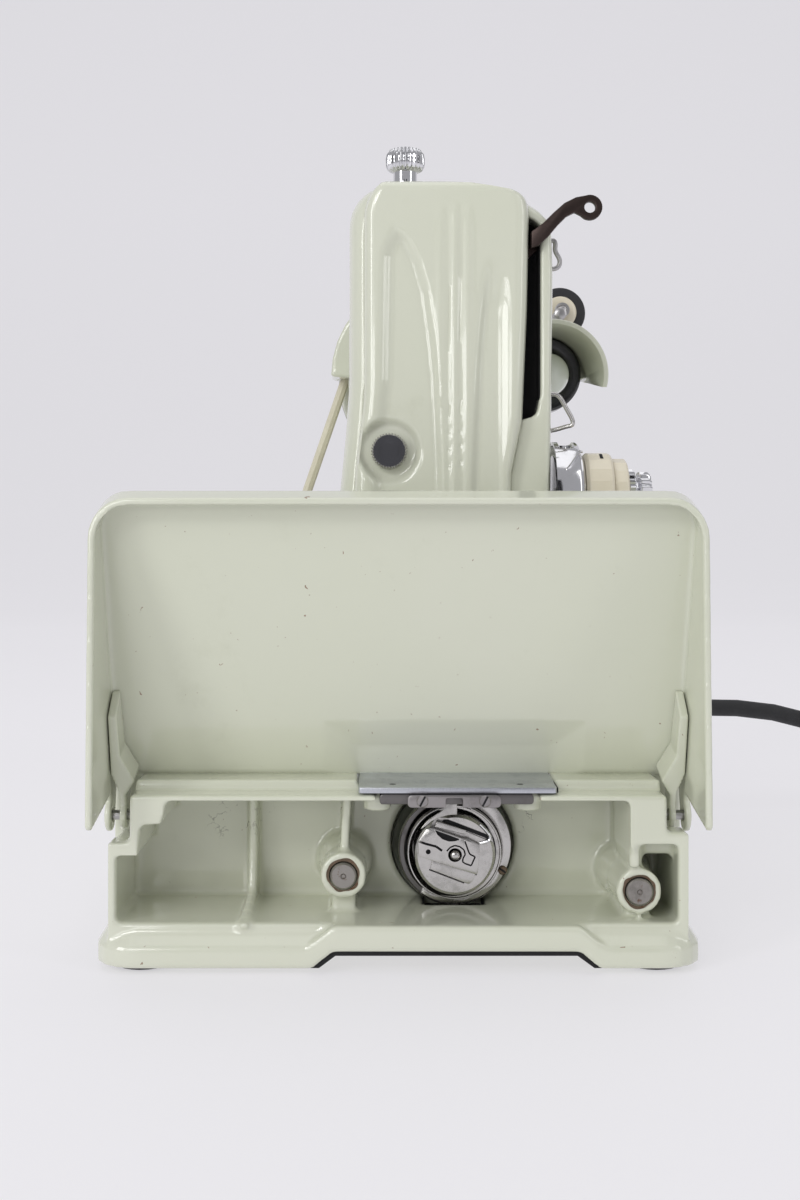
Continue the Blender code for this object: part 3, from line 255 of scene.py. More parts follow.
def chipped(r, colour, roughness, wear):
    """The colour and roughness with rusty chips along the edges and small specks elsewhere."""
    patches = r.ramp(r.noise(190.0, 6.0, 0.75), 0.60 - 0.06 * wear, 0.66)
    chips = r.math("MULTIPLY", r.edges(0.535, 0.60), patches)
    specks = r.ramp(r.noise(520.0, 2.0, 0.5, distortion=0.6), 0.745, 0.77)
    mark = r.math("MAXIMUM", chips, r.math("MULTIPLY", specks, 0.8))
    rust = r.mix(r.noise(900.0, 3.0), RUST, (0.30, 0.16, 0.08, 1))
    return r.mix(mark, colour, rust), r.math("ADD", roughness, r.math("MULTIPLY", mark, 0.5))


def crackled(r, colour, places):
    """The colour with dark hairline cracks inside balls, each a centre and a radius."""
    bend = r.node("TexNoise", {"Vector": r.coords, "Scale": 240.0, "Detail": 4.0}).outputs["Color"]
    bent = r.node("VectorMath", {0: bend, 1: r.coords, "Scale": 0.011}, operation="SCALE").outputs[0]
    bent = r.node("VectorMath", {0: bent, 1: r.coords}, operation="ADD").outputs[0]
    cells = r.node("TexVoronoi", {"Vector": bent, "Scale": 150.0}, feature="DISTANCE_TO_EDGE")
    hair = r.math("SUBTRACT", 1.0, r.ramp(cells.outputs["Distance"], 0.004, 0.03))
    hair = r.math("MULTIPLY", hair, r.ramp(r.noise(150.0, 3.0), 0.50, 0.58))
    for centre, radius in places:
        lines = r.math("MULTIPLY", hair, r.near(centre, radius * 0.5, radius * 0.7))
        colour = r.mix(r.math("MULTIPLY", lines, 0.8), colour, (0.12, 0.11, 0.08, 1))
    return colour


def metal(name, colour, roughness, brushed=None, grime=0.3, rust=0.0, scratch=0.25):
    """Steel or plate with handling marks; brushed gives the stretch of its grain along X, Y and Z."""
    r = Recipe(name)
    dark = tuple(c * 0.45 for c in colour) + (1,)
    cloud = r.ramp(r.noise(120.0, 6.0, 0.7), 0.45, 0.75)
    shade = r.mix(r.math("MULTIPLY", cloud, grime), colour + (1,), dark)
    if rust:
        spots = r.ramp(r.noise(330.0, 6.0, 0.75), 0.62 - 0.12 * rust, 0.70)
        shade = r.mix(spots, shade, RUST)
    rough = r.blend(cloud, roughness, roughness + 0.18)
    height = r.noise(900.0, 2.0, 0.5, stretch=brushed) if brushed else r.noise(700.0, 5.0, 0.7)
    if brushed:
        grain = r.ramp(r.noise(700.0, 3.0, 0.6, stretch=brushed), 0.3, 0.75)
        shade = r.mix(r.math("MULTIPLY", grain, 0.35), shade, dark)
    r.link(shade, "Base Color")
    r.link(rough, "Roughness")
    r.set(Metallic=1.0)
    r.bump(height, scratch * 0.3, 0.0002)
    return r.made


def plain(name, colour, roughness, mottle=0.15, bump=0.1, scale=300.0, coat=0.0):
    """Moulded plastic or rubber, slightly mottled."""
    r = Recipe(name)
    shift = tuple(min(c * 1.6 + 0.02, 1.0) for c in colour) + (1,)
    patch = r.math("MULTIPLY", r.ramp(r.noise(80.0, 5.0, 0.65), 0.4, 0.8), mottle)
    r.link(r.mix(patch, colour + (1,), shift), "Base Color")
    r.link(r.blend(r.noise(scale, 4.0), max(roughness - 0.06, 0.02), roughness + 0.1), "Roughness")
    r.set(Coat_Weight=coat)
    r.bump(r.noise(scale * 2, 3.0), bump, 0.0002)
    return r.made


def paper(name, colour, glow):
    """Matt background paper, evenly lit."""
    r = Recipe(name)
    r.link(r.mix(r.noise(3.0), colour + (1,), tuple(c * 0.98 for c in colour) + (1,)), "Base Color")
    r.set(Roughness=0.75, Emission_Color=colour + (1,), Emission_Strength=glow)
    return r.made


class Look:
    """A finish slot and its material, made when it is first asked for."""

    def __init__(self, finish, maker, *args, **kwargs):
        self.finish = finish
        self.recipe = (maker, args, kwargs)
        self.made = None

    def material(self):
        if not self.made:
            maker, args, kwargs = self.recipe
            self.made = maker(*args, **kwargs)
        return self.made


FLOOR = Look(None, paper, "paper", (0.33, 0.326, 0.338), 1.56)
ENAMEL = Look("enamel", enamel, "enamel")
ENAMEL_WORN = Look("enamel", enamel, "enamel_worn", wear=1.0)
CRACKED = (((-101, 50, 40), 11), ((-101, -38, 42), 9), ((-101, 14, 44), 6))
ENAMEL_BED = Look("enamel", enamel, "enamel_bed", wear=0.6, crackle=CRACKED)
STEEL = Look("steel", metal, "steel", (0.47, 0.46, 0.46), 0.30)
PLATE_STEEL = Look("steel", metal, "plate_steel", (0.60, 0.62, 0.67), 0.30, brushed=(1.0, 14.0, 1.0))
DARK_STEEL = Look("dark_steel", metal, "dark_steel", (0.115, 0.12, 0.115), 0.40)
DARK_MIRROR = Look("chrome", metal, "dark_mirror", (0.13, 0.13, 0.14), 0.10, grime=0.3)
GUNMETAL = Look("dark_steel", metal, "gunmetal", (0.17, 0.162, 0.16), 0.34, grime=0.5, scratch=0.4)
CLIP_STEEL = Look("dark_steel", metal, "clip_steel", (0.34, 0.32, 0.32), 0.28, grime=0.6, scratch=0.4)
POLISHED = Look("steel", metal, "polished_steel", (0.55, 0.535, 0.52), 0.22, grime=0.4)
CHROME = Look("chrome", metal, "chrome", (0.74, 0.74, 0.76), 0.08, grime=0.2)
SHAFT_END = Look("steel", metal, "shaft_end", (0.34, 0.32, 0.30), 0.42, grime=0.5, rust=0.25)
RUSTY = Look("steel", metal, "rusty_steel", (0.20, 0.15, 0.11), 0.55, grime=0.6, rust=1.0)
BROWNED = Look("dark_steel", metal, "browned_steel", (0.062, 0.046, 0.042), 0.36, grime=0.5)
BLACK = Look("bakelite", plain, "black_phenolic", (0.012, 0.012, 0.014), 0.22, 0.3, 0.05, coat=0.3)
RUBBER = Look("rubber", plain, "black_rubber", (0.018, 0.018, 0.020), 0.62, 0.4, 0.35, 900.0)
CREAM = Look("cream_plastic", plain, "cream_plastic", (0.72, 0.66, 0.52), 0.22, 0.12, 0.03, coat=0.3)
BELT = Look("rubber", plain, "cream_belt", (0.66, 0.62, 0.48), 0.5, 0.2, 0.3, 900.0)
# Near-black: the studio flags and the dial's mark, and painted shade in slots, gaps, hollows and under the
# bed's arch.
INSIDE = Look("bakelite", plain, "dark_inside", (0.006, 0.006, 0.007), 0.8, 0.1, 0.1)
BULB = Look("glass", plain, "bulb_glass", (0.72, 0.76, 0.68), 0.08, 0.1, 0.0, coat=0.5)


# ---- shapes


def placed(axis, a, b, depth):
    """A point from its two coordinates across an axis and its depth along it."""
    if axis == "X":
        return Vector((depth, a, b))
    if axis == "Y":
        return Vector((a, depth, b))
    return Vector((a, b, depth))


def from_bmesh(bm):
    bmesh.ops.recalc_face_normals(bm, faces=bm.faces)
    mesh = bpy.data.meshes.new("shape")
    bm.to_mesh(mesh)
    bm.free()
    return linked("shape", mesh)


def loft(loops):
    """A solid through loops of corners, closed by its first and last loop."""
    bm = bmesh.new()
    rows = [[bm.verts.new(v) for v in loop] for loop in loops]
    count = len(rows[0])
    bm.faces.new(rows[0])
    bm.faces.new(rows[-1][::-1])
    for low, high in zip(rows, rows[1:]):
        for i in range(count):
            j = (i + 1) % count
            bm.faces.new((low[i], high[i], high[j], low[j]))
    return from_bmesh(bm)


def closed_ring(loops):
    """A ring through loops of corners, the last joined to the first."""
    bm = bmesh.new()
    rows = [[bm.verts.new(v) for v in loop] for loop in loops]
    count = len(rows[0])
    for near, far in zip(rows, rows[1:] + rows[:1]):
        for i in range(count):
            j = (i + 1) % count
            bm.faces.new((near[i], near[j], far[j], far[i]))
    return from_bmesh(bm)


def prism(axis, outline, low, high):
    return loft([[placed(axis, a, b, depth) for a, b in outline] for depth in (low, high)])


def box(low, high):
    (x0, y0, z0), (x1, y1, z1) = low, high
    return prism("Z", [(x0, y0), (x1, y0), (x1, y1), (x0, y1)], z0, z1)


def polar(centre, radius, angle):
    """The point at a distance and an angle in radians from a centre."""
    return centre[0] + radius * cos(angle), centre[1] + radius * sin(angle)


def circle(centre, radius, sides=48):
    return [polar(centre, radius, 2 * pi * k / sides) for k in range(sides)]


def arc(centre, radius, start, end, steps):
    angles = [radians(start + (end - start) * k / steps) for k in range(steps + 1)]
    return [polar(centre, radius, angle) for angle in angles]


def rounded_rectangle(low, high, radius, steps=4):
    (x0, y0), (x1, y1) = low, high
    corners = (((x1 - radius, y0 + radius), 270), ((x1 - radius, y1 - radius), 0),
               ((x0 + radius, y1 - radius), 90), ((x0 + radius, y0 + radius), 180))
    return [point for centre, start in corners for point in arc(centre, radius, start, start + 90, steps)]


def spun(axis, centre, profile, sides, reach):
    """A solid of revolution whose corners stand out from the axis by reach(row, corner)."""
    loops = []
    for row, (_, depth) in enumerate(profile):
        outline = [polar(centre, reach(row, k), 2 * pi * k / sides) for k in range(sides)]
        loops.append([placed(axis, a, b, depth) for a, b in outline])
    return loft(loops)


def turned(axis, centre, profile, sides=64, knurl=()):
    """A solid of revolution; knurl gives (first, last, count, depth) for the toothed rows."""

    def reach(row, k):
        radius = profile[row][0]
        for first, last, count, bite in knurl:
            if first <= row <= last:
                radius -= bite * (0.5 - 0.5 * cos(2 * pi * k / sides * count))
        return radius

    return spun(axis, centre, profile, sides, reach)


def faceted(axis, centre, profile, count, flat_rows=(2, 3), per_flat=6):
    """A turned knob with some rows cut to flats, in small steps so that the edges stay crisp."""

    def reach(row, k):
        radius = profile[row][0]
        if row not in flat_rows:
            return radius
        wedge = (k % per_flat - per_flat / 2) / per_flat * 2 * pi / count
        return radius * cos(pi / count) / cos(wedge)

    return spun(axis, centre, profile, count * per_flat, reach)


def turned_ring(axis, centre, profile, sides=64):
    """A solid of revolution with a hole, its profile a closed section."""
    loops = []
    for radius, depth in profile:
        loops.append([placed(axis, a, b, depth) for a, b in circle(centre, radius, sides)])
    return closed_ring(loops)


def smooth_route(points, step):
    """Evenly spaced points on a smooth curve through the route."""
    path = [Vector(p) for p in points]
    fine = []
    for i in range(len(path) - 1):
        before = path[max(i - 1, 0)]
        after = path[min(i + 2, len(path) - 1)]
        a, b = path[i], path[i + 1]
        for t in (k / 16 for k in range(16)):
            slope, bend = b - before, 2 * before - 5 * a + 4 * b - after
            twist = 3 * a - before - 3 * b + after
            fine.append(0.5 * (2 * a + slope * t + bend * t * t + twist * t * t * t))
    fine.append(path[-1])
    spaced = [fine[0]]
    for point in fine[1:-1]:
        if (point - spaced[-1]).length >= step:
            spaced.append(point)
    return spaced + [fine[-1]]


def wire(points, radius, sides=12, step=0.6):
    """A round bar along a smooth path, with flat ends."""
    path = smooth_route(points, step)
    loops = []
    side = None
    for i, here in enumerate(path):
        along = (path[min(i + 1, len(path) - 1)] - path[max(i - 1, 0)]).normalized()
        side = side or along.orthogonal().normalized()
        side = (side - along * side.dot(along)).normalized()
        other = along.cross(side)
        turn = [2 * pi * k / sides for k in range(sides)]
        loops.append([here + side * radius * cos(a) + other * radius * sin(a) for a in turn])
    return loft(loops)


def applied(obj):
    """Turns the object's modifiers into its mesh."""
    bpy.context.view_layer.update()
    graph = bpy.context.evaluated_depsgraph_get()
    mesh = bpy.data.meshes.new_from_object(obj.evaluated_get(graph))
    obj.modifiers.clear()
    obj.data = mesh
    return obj


def combined(target, tools, operation):
    """Applies a Boolean with each tool in turn; the tools are used up."""
    for tool in tools:
        change = target.modifiers.new("change", "BOOLEAN")
        change.operation = operation
        change.solver = "EXACT"
        change.object = tool
        applied(target)
        bpy.data.objects.remove(tool, do_unlink=True)
    return target


def cut(target, *tools):
    return combined(target, tools, "DIFFERENCE")


def joined(target, *tools):
    return combined(target, tools, "UNION")


def kept(target, *tools):
    return combined(target, tools, "INTERSECT")


def gathered(*objs):
    """One object that holds several separate closed shapes."""
    bm = bmesh.new()
    for obj in objs:
        bm.from_mesh(obj.data)
        bpy.data.objects.remove(obj, do_unlink=True)
    return from_bmesh(bm)


def rounding(obj, width, segments, angle):
    """A bevel on the edges sharper than an angle in degrees."""
    change = obj.modifiers.new("round", "BEVEL")
    change.width = width
    change.segments = segments
    change.limit_method = "ANGLE"
    change.angle_limit = radians(angle)
    return change


def softened(obj, width, segments=3, angle=30):
    """Rounds the sharp edges."""
    rounding(obj, width, segments, angle).use_clamp_overlap = True
    return applied(obj)


def piece(name, obj, look, body="frame", replaced=None, width=0.0, angle=35):
    """Finishes a shape: rounds it, names it, scales it to metres and ties it to its body."""
    if width:
        softened(obj, width)
    obj.name = name
    obj.data.name = name
    obj.data.transform(Matrix.Scale(MM, 4))
    obj.data.materials.clear()
    obj.data.materials.append(look.material())
    obj.data.polygons.foreach_set("use_smooth", [True] * len(obj.data.polygons))
    obj.data.set_sharp_from_angle(angle=radians(angle))
    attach(obj, body)
    if replaced:
        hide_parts(replaced)
    return obj


def copied(node):
    """A copy of a CAD node's mesh, in millimetres."""
    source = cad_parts[node]
    obj = linked("copy", source.data.copy())
    obj.data.transform(source.matrix_world)
    obj.data.transform(Matrix.Scale(1 / MM, 4))
    bm = bmesh.new()
    bm.from_mesh(obj.data)
    bmesh.ops.remove_doubles(bm, verts=bm.verts, dist=0.002)
    bm.to_mesh(obj.data)
    bm.free()
    return obj


def cast(obj, voxel, rounds, keep=1.0):
    """Gives a solid the soft corners of an enamelled casting."""
    change = obj.modifiers.new("even", "REMESH")
    change.mode = "VOXEL"
    change.voxel_size = voxel
    change.adaptivity = 0.0
    soft = obj.modifiers.new("soft", "SMOOTH")
    soft.factor = 0.5
    soft.iterations = rounds
    if keep < 1:
        obj.modifiers.new("fewer", "DECIMATE").ratio = keep
    return applied(obj)


def dress(node, look, width=0.0003, segments=2):
    """Keeps a CAD node, rounds its edges and gives it a material."""
    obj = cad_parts[node]
    obj.data.materials.clear()
    obj.data.materials.append(look.material())
    if width:
        rounding(obj, width, segments, 38).harden_normals = True
    return obj


# ---- mains lead


def eased(value, low, high):
    """0 below low, 1 above high, and a smooth rise between them."""
    t = min(max((value - low) / (high - low), 0), 1)
    return t * t * (3 - 2 * t)


def coil_points(steps=32):
    """Two layers of turns: inwards along the floor, up, and outwards again on top."""
    high = ON_FLOOR + CORD_DIAMETER
    outer = COIL_RADIUS + CORD_DIAMETER
    inner = COIL_RADIUS - CORD_DIAMETER
    stages = []
    for k in range(3 * steps):
        turn, part = divmod(k / steps, 1)
        inward = eased(part, 0.75, 1) if turn < 2 else 0
        climb = eased(part, 0.75, 1) if turn == 2 else 0
        height = ON_FLOOR + (high - ON_FLOOR) * climb
        stages.append((k / steps, outer - CORD_DIAMETER * (turn + inward), height))
    for k in range(int(2.5 * steps) + 1):
        turn, part = divmod(k / steps, 1)
        outward = eased(part, 0.5, 0.75) if turn < 2 else 0
        stages.append((3 + k / steps, inner + CORD_DIAMETER * (min(turn, 2) + outward), high))
    return [Vector((*polar(COIL_CENTRE, radius, -2 * pi * turns), z)) for turns, radius, z in stages]


def mains_lead():
    """The cord, coiled where it isn't seen, and its two-pin plug."""
    route = smooth_route(CORD_ROUTE, 2.2 * CORD_DIAMETER)
    coil = coil_points()
    tail = [coil[-1] + Vector((0, y, 0)) for y in (11, 21, 31.6)]
    points = route + [Vector((CORD_X, -346, ON_FLOOR))] + coil + tail
    curve = bpy.data.curves.new("mains_cord_visual", "CURVE")
    curve.dimensions = "3D"
    curve.bevel_depth = CORD_DIAMETER / 2 * MM
    curve.bevel_resolution = 4
    curve.use_fill_caps = True
    spline = curve.splines.new("POLY")
    spline.points.add(len(points) - 1)
    for slot, point in zip(spline.points, points):
        slot.co = (*(point * MM), 1)
    spline.use_smooth = True
    curve.materials.append(RUBBER.material())
    cord = linked("mains_cord_visual", curve)
    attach(cord, "frame")
    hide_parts("mains_cord", "cord_coil")
    plug = wall_plug(points[-1].x, COIL_CENTRE[1] + 31)


def wall_plug(x, y):
    """Ribbed strain relief, a body with two grip flats, and two blades."""
    z = 12.6
    rows = [(4.6, y + 0.6), (4.8, y + 1)]
    for k in range(7):
        rib, base = 0.2 * k, y + 3 * k
        rows += [(5.1 + rib, base + 3), (4.7 + rib, base + 3.4), (4.7 + rib, base + 5.2)]
    rows += [(7.4, y + 25), (10.2, y + 27), (11.7, y + 32), (12, y + 36), (12, y + 48), (11.6, y + 50.5),
             (10.8, y + 51.6)]
    body = turned("Y", (x, z), rows, 48)
    for side in (-6.4, 6.4):
        blade = box((x + side - 0.8, y + 50, 9.4), (x + side + 0.8, y + 67, 15.8))
        body = joined(body, softened(blade, 0.3))
    for grip in (z + 12.6, z - 12.6):
        body = cut(body, box((x - 9, y + 34, grip - 1), (x + 9, y + 46, grip + 1)))
    return piece("wall_plug_visual", body, BLACK, replaced="wall_plug")


# ---- castings


def head_outline(inset):
    """The head seen along the bed, drawn in by an inset."""
    rear, front, lift = 15.3 - inset, HEAD_FRONT + inset * 0.15, inset * 0.1
    outline = [(front, 99 + inset), (rear + 3, 99 + inset), (rear + 3, 142), (rear + 1.2, 160), (rear, 176)]
    corner = arc((0, 0), 1, 0, 90, 8)
    outline += [(2.3 + (13 - inset) * a, 226.7 + (13 - lift) * b) for a, b in corner]
    shoulder = ((-24, 239.1), (-30, 237.8), (-36, 236.9), (-39.5, 235.2), (-44.7, 231.4), (-47.6, 228))
    outline += [(y + inset * 0.3, z - lift) for y, z in shoulder]
    return outline + [(front, 222), (front, 212)]


def rolled_head():
    """The envelope of the arm casting, its left face rolled back to the sides."""
    roll_depth, roll_height = 7, 6.4
    loops = []
    for a in (90, 72, 54, 36, 18, 0):
        x = HEAD_LEFT + roll_depth * (1 - sin(radians(a)))
        outline = head_outline(roll_height * (1 - cos(radians(a))))
        loops.append([Vector((x, y, z)) for y, z in outline])
    return joined(loft(loops), box((HEAD_LEFT + roll_depth - 0.1, -120, 0), (140, 120, 300)))


# Lines down the cover, as (height, value of Y) corners
LEFT_CREASE = [(100, -15.6), (150, -14.4), (176.3, -13.1), (189.5, -11.8), (204, -9.8), (213.2, -7.2),
               (220.4, -3.3), (225.7, 2), (229, 9), (260, 12)]
RIGHT_CREASE = [(100, -20.8), (146.7, -22.7), (182.9, -24.3), (202.7, -26), (214.5, -27.6), (222, -31),
                (228, -38), (260, -60)]
REAR_LINE = [(100, 9.5), (150, 8.2), (176, 5.6), (215, 5), (226, 1), (260, -3)]
SEAM = [(99, -35.4), (147, -35.7), (163, -39), (165.2, -39.3), (198.4, -40.7), (228.5, -41.3), (236, -40.4),
        (240, -38)]
CROWN = [(226, -41.3), (231.5, -40.9), (234.2, -39.6), (235.8, -36.6), (236.8, -31), (237.7, -25.5),
         (238.9, -14)]
SCREW = (2.6, 154.1)
COVER_FOOT = 99.8
COVER_TOP = 238.9


def along(line, z):
    """The value of a line of (height, value) corners at a height."""
    for (z0, y0), (z1, y1) in zip(line, line[1:]):
        if z <= z1:
            t = max((z - z0) / (z1 - z0), 0)
            return y0 + (y1 - y0) * t
    return line[-1][1]


def ridge(y, place, width):
    """A soft ridge 1 high, running down the cover."""
    return exp(-((y - place) / width) ** 2)


def relief(y, z):
    """How far the cover stands out: two scooped panels either side of a fluted spine."""
    left, right, rear = along(LEFT_CREASE, z), along(RIGHT_CREASE, z), along(REAR_LINE, z)
    scoop = eased(y, left - 0.2, left + 2.3) * (1 - eased(y, rear - 4, rear + 0.6))
    scoop *= 1 - eased(z, 219, 226)
    front = eased(-y, -right - 0.2, -right + 2.3) * (1 - eased(z, 196, 216)) * (1 - eased(-y, 31, 36))
    height = 3.1 - 2 * scoop - 1.7 * front
    flutes = 0.55 * ridge(y, -17.75, 1.5) + 0.35 * ridge(y, -13.2, 1.1) + 0.35 * ridge(y, -22, 1.1)
    flutes -= 0.45 * ridge(y, -15.9, 0.55) + 0.45 * ridge(y, -19.5, 0.55)
    height += flutes * (1 - eased(z, 222, 233))
    seat = eased(10.6 - hypot(y - SCREW[0], z - SCREW[1]), 0, 2.6)
    return height * (1 - seat) - 0.6 * seat


def cover_rows(count=132):
    """Rows of the cover from its foot to its crown, each from the slot edge to the rear edge."""
    corner_y, corner_z, reach_y, reach_z = 2.3, 226.2, 8.2, 12.8
    rows = []
    for k in range(count + 1):
        z = COVER_FOOT + (COVER_TOP - COVER_FOOT) * k / count
        rear = 13.4 - 3.0 * eased(z, 142, 176)
        if z > corner_z:
            rise = (z - corner_z) / reach_z
            rear = min(rear, corner_y + reach_y * sqrt(max(1 - rise ** 2, 0.0004)))
        low = along(SEAM, z) + 0.15
        if z > 228:
            low = max(low, along(CROWN, z))
        rows.append((z, low, rear))
    return rows


def cover_face(y, z, low, high, roll_width=3.4):
    """Where the cover's outer face stands along the bed: its relief, rolled back near the edges."""
    edge = min(y - low, high - y, COVER_TOP - z, (z - COVER_FOOT) * 2)
    roll = 1 - sqrt(max(1 - (1 - min(edge / roll_width, 1)) ** 2, 0))
    return HEAD_LEFT - relief(y, z) * (1 - roll) + 0.7 * roll


def face_cover(count=56):
    """The cover of the head's left side as a closed relief."""
    bm = bmesh.new()
    front, back = [], []
    for z, low, high in cover_rows():
        across = [low + (high - low) * i / count for i in range(count + 1)]
        front.append([bm.verts.new((cover_face(y, z, low, high), y, z)) for y in across])
        back.append([bm.verts.new((HEAD_LEFT + 2.2, y, z)) for y in across])
    last = len(front) - 1
    for k in range(last):
        for i in range(count):
            bm.faces.new((front[k][i], front[k][i + 1], front[k + 1][i + 1], front[k + 1][i]))
            bm.faces.new((back[k][i], back[k + 1][i], back[k + 1][i + 1], back[k][i + 1]))
        for i in (0, count):
            bm.faces.new((front[k][i], front[k + 1][i], back[k + 1][i], back[k][i]))
    for k in (0, last):
        for i in range(count):
            bm.faces.new((front[k][i], back[k][i], back[k][i + 1], front[k][i + 1]))
    return from_bmesh(bm)


def leaf_point(u, w, y):
    """A point of the raised leaf: u from the hinge towards its tip, w out from its hinge line."""
    lean = pi / 2 - LEAF_FOLD
    x = PIVOT[0] - u * sin(lean) + w * cos(lean)
    return Vector((x, y, PIVOT[1] + u * cos(lean) + w * sin(lean)))


def leaf_edge():
    """Metal that the softening takes off the leaf's thin lower edge."""
    outline = [(8, 10.5), (9.6, 9.7), (10.4, 9.65), (10.4, 11.79), (8, 11.79)]
    return loft([[leaf_point(u, w, y) for u, w in outline] for y in (-86, 86)])


def leaf_relief():
    """A shallow dish on the leaf's inside over the needle plate's place, with long easy slopes."""
    deep = [(5, -47.1), (17.7, -47.1), (17.7, 12.3), (5, 12.3)]
    wide = [(5, -58), (27, -58), (27, 23), (5, 23)]
    return loft([[leaf_point(u, w, y) for u, y in outline] for outline, w in ((deep, 11.1), (wide, 9.55))])


def castings():
    """The bed, the arm, the head's cover and the folding leaf on its two straps."""
    bed = cast(copied("bed_casting"), 0.85, 4, 0.5)
    piece("bed_visual", bed, ENAMEL_BED, replaced="bed_casting", angle=60)
    arm = cast(kept(copied("arm_casting"), rolled_head()), 0.95, 5, 0.5)
    piece("arm_visual", arm, ENAMEL, replaced="arm_casting", angle=60)
    piece("cover_visual", face_cover(), ENAMEL, replaced="face_plate", angle=50)
    leaf = cast(cut(joined(copied("extension_leaf"), leaf_edge()), leaf_relief()), 0.6, 3, 0.55)
    piece("leaf_visual", leaf, ENAMEL_WORN, "leaf", "extension_leaf", angle=60)
    for side in ("front", "rear"):
        strap = cast(copied(f"hinge_strap_{side}"), 0.4, 3)
        piece(f"strap_{side}_visual", strap, ENAMEL_WORN, "leaf", f"hinge_strap_{side}", angle=60)
        dress(f"hinge_pin_{side}", STEEL)


# ---- head


def slotted_screw(axis, centre, radius, face, depth, turn, out=-1):
    """A screw head with a slot at an angle; out is the way its face looks along the axis."""
    rows = [(radius, face - out * depth), (radius, face - out * 0.3), (radius - 0.3, face)]
    head = turned(axis, centre, rows, 36)
    slot = prism(axis, slot_outline(centre, radius + 1, 0.24, turn), face - out * 0.45, face + out * 1)
    return cut(head, slot)


def slot_outline(centre, reach, half, turn):
    """A bar through a centre, reaching both ways at an angle and half a width to each side."""
    direction = Vector((cos(turn), sin(turn)))
    across = Vector((-direction.y, direction.x)) * half
    corners = ((-1, -1), (1, -1), (1, 1), (-1, 1))
    return [Vector(centre) + direction * s * reach + across * t for s, t in corners]


def slot_shade(centre, reach, face, turn):
    """Painted shade: a black bar on the floor of a screw's slot."""
    return prism("X", slot_outline(centre, reach, 0.3, turn), face - 0.02, face + 0.4)


def head_fittings():
    """The cover's mirror-ended screw, the pressure screw, the oil cap, and black sheets in the slot as
    painted shade.
    """
    rows = [(1.9, -101), (1.9, -105.6), (5.3, -105.6), (5.7, -106.2), (5.7, -108.8), (5.2, -109.5),
            (4.8, -109.5)]
    screw = turned("X", SCREW, rows, 216, knurl=((3, 5, 36, 0.6),))
    piece("face_screw_visual", screw, STEEL, "face_screw", "face_plate_screw")
    rows = [(4.9, -109.5), (4.9, -109.9), (4.3, -109.9), (2.8, -109.78), (0.8, -109.74)]
    piece("face_screw_dish", turned("X", SCREW, rows, 64), DARK_MIRROR, "face_screw")
    rows = [(3.7, 232), (3.8, 244.1), (4.4, 244.4), (5.6, 245), (6.2, 246.4), (6.3, 248.4), (6, 250),
            (5.3, 250.8), (5, 251.4), (4.2, 251.5), (3.9, 251)]
    knob = turned("Z", PRESSER, rows, 176, knurl=((3, 8, 22, 0.75),))
    x, y = PRESSER
    knob = cut(knob, box((x - 8, y - 0.7, 241.4), (x - 3, y + 0.7, 244.1)))
    piece("pressure_screw_visual", knob, CHROME, "pressure", "pressure_screw")
    cap = turned("Z", (-92, -18.8), [(4.6, 238.6), (4.6, 240.3), (4.2, 240.6), (1.2, 240.6)], 40)
    piece("oil_cap", cap, DARK_STEEL)
    # Painted shade: black sheets at the back and the side of the slot in the head's front stand for the
    # shade inside it.
    back_shade = box((-95.2, -44.8, 161), (-94.4, -30, 229))
    side = box((-102.8, -44.9, 168), (-95, -44.65, 226.5))
    piece("slot_painted_shade", gathered(back_shade, side), INSIDE)


def thread_guides():
    """Two bent wires at the front of the head."""
    bow = wire([(-97, -48.5, 221.9), (-97, -49.9, 221.9), (-97, -50.4, 220.9), (-97, -50.4, 218.6),
                (-97, -51.7, 216), (-97, -51.7, 214.2), (-97, -50.7, 213.1), (-97, -48.5, 212.8)], 0.75)
    piece("side_guide", bow, STEEL)
    guide = wire([(-96, -48, 173), (-96, -51.4, 172.6), (-96, -54.2, 168.2), (-96, -56, 164.8),
                  (-95.8, -55.9, 163.2), (-95.2, -54, 162.7), (-94.4, -51.5, 162), (-94, -48, 161.2)], 0.72)
    piece("thread_guide_visual", guide, POLISHED, replaced="thread_guide")


def lever():
    """The take-up lever: a flat blade that sweeps up to its eye, bright along its edges."""
    blade = [(-41.9, 222.9), (-41.9, 217.6), (-44.2, 218.6), (-47.2, 221.4), (-50.2, 225), (-52.8, 227.6),
             (-55.4, 228.9), (-57.2, 228)]
    eye = (-60.2, 230.5)
    blade += arc(eye, 3.9, -50, -290, 20)[1:]
    blade += [(-55.8, 233.6), (-52.2, 231.8), (-48.8, 228.8), (-45.6, 225.6)]
    plate = prism("X", blade, -106.6, -104.3)
    plate = cut(plate, prism("X", circle(eye, 1.75, 32), -110, -100))
    plate = softened(plate, 0.3, 2)
    foot = box((-105, -44.5, 218.6), (-96, -41.8, 222.8))
    inner = prism("X", [(-44.5, 222.8), (-44.5, 218.6), (-30, 206), (-27, 210)], -98.4, -96)
    whole = joined(plate, foot, inner)
    piece("take_up_visual", whole, BROWNED, "take_up", "take_up_lever")


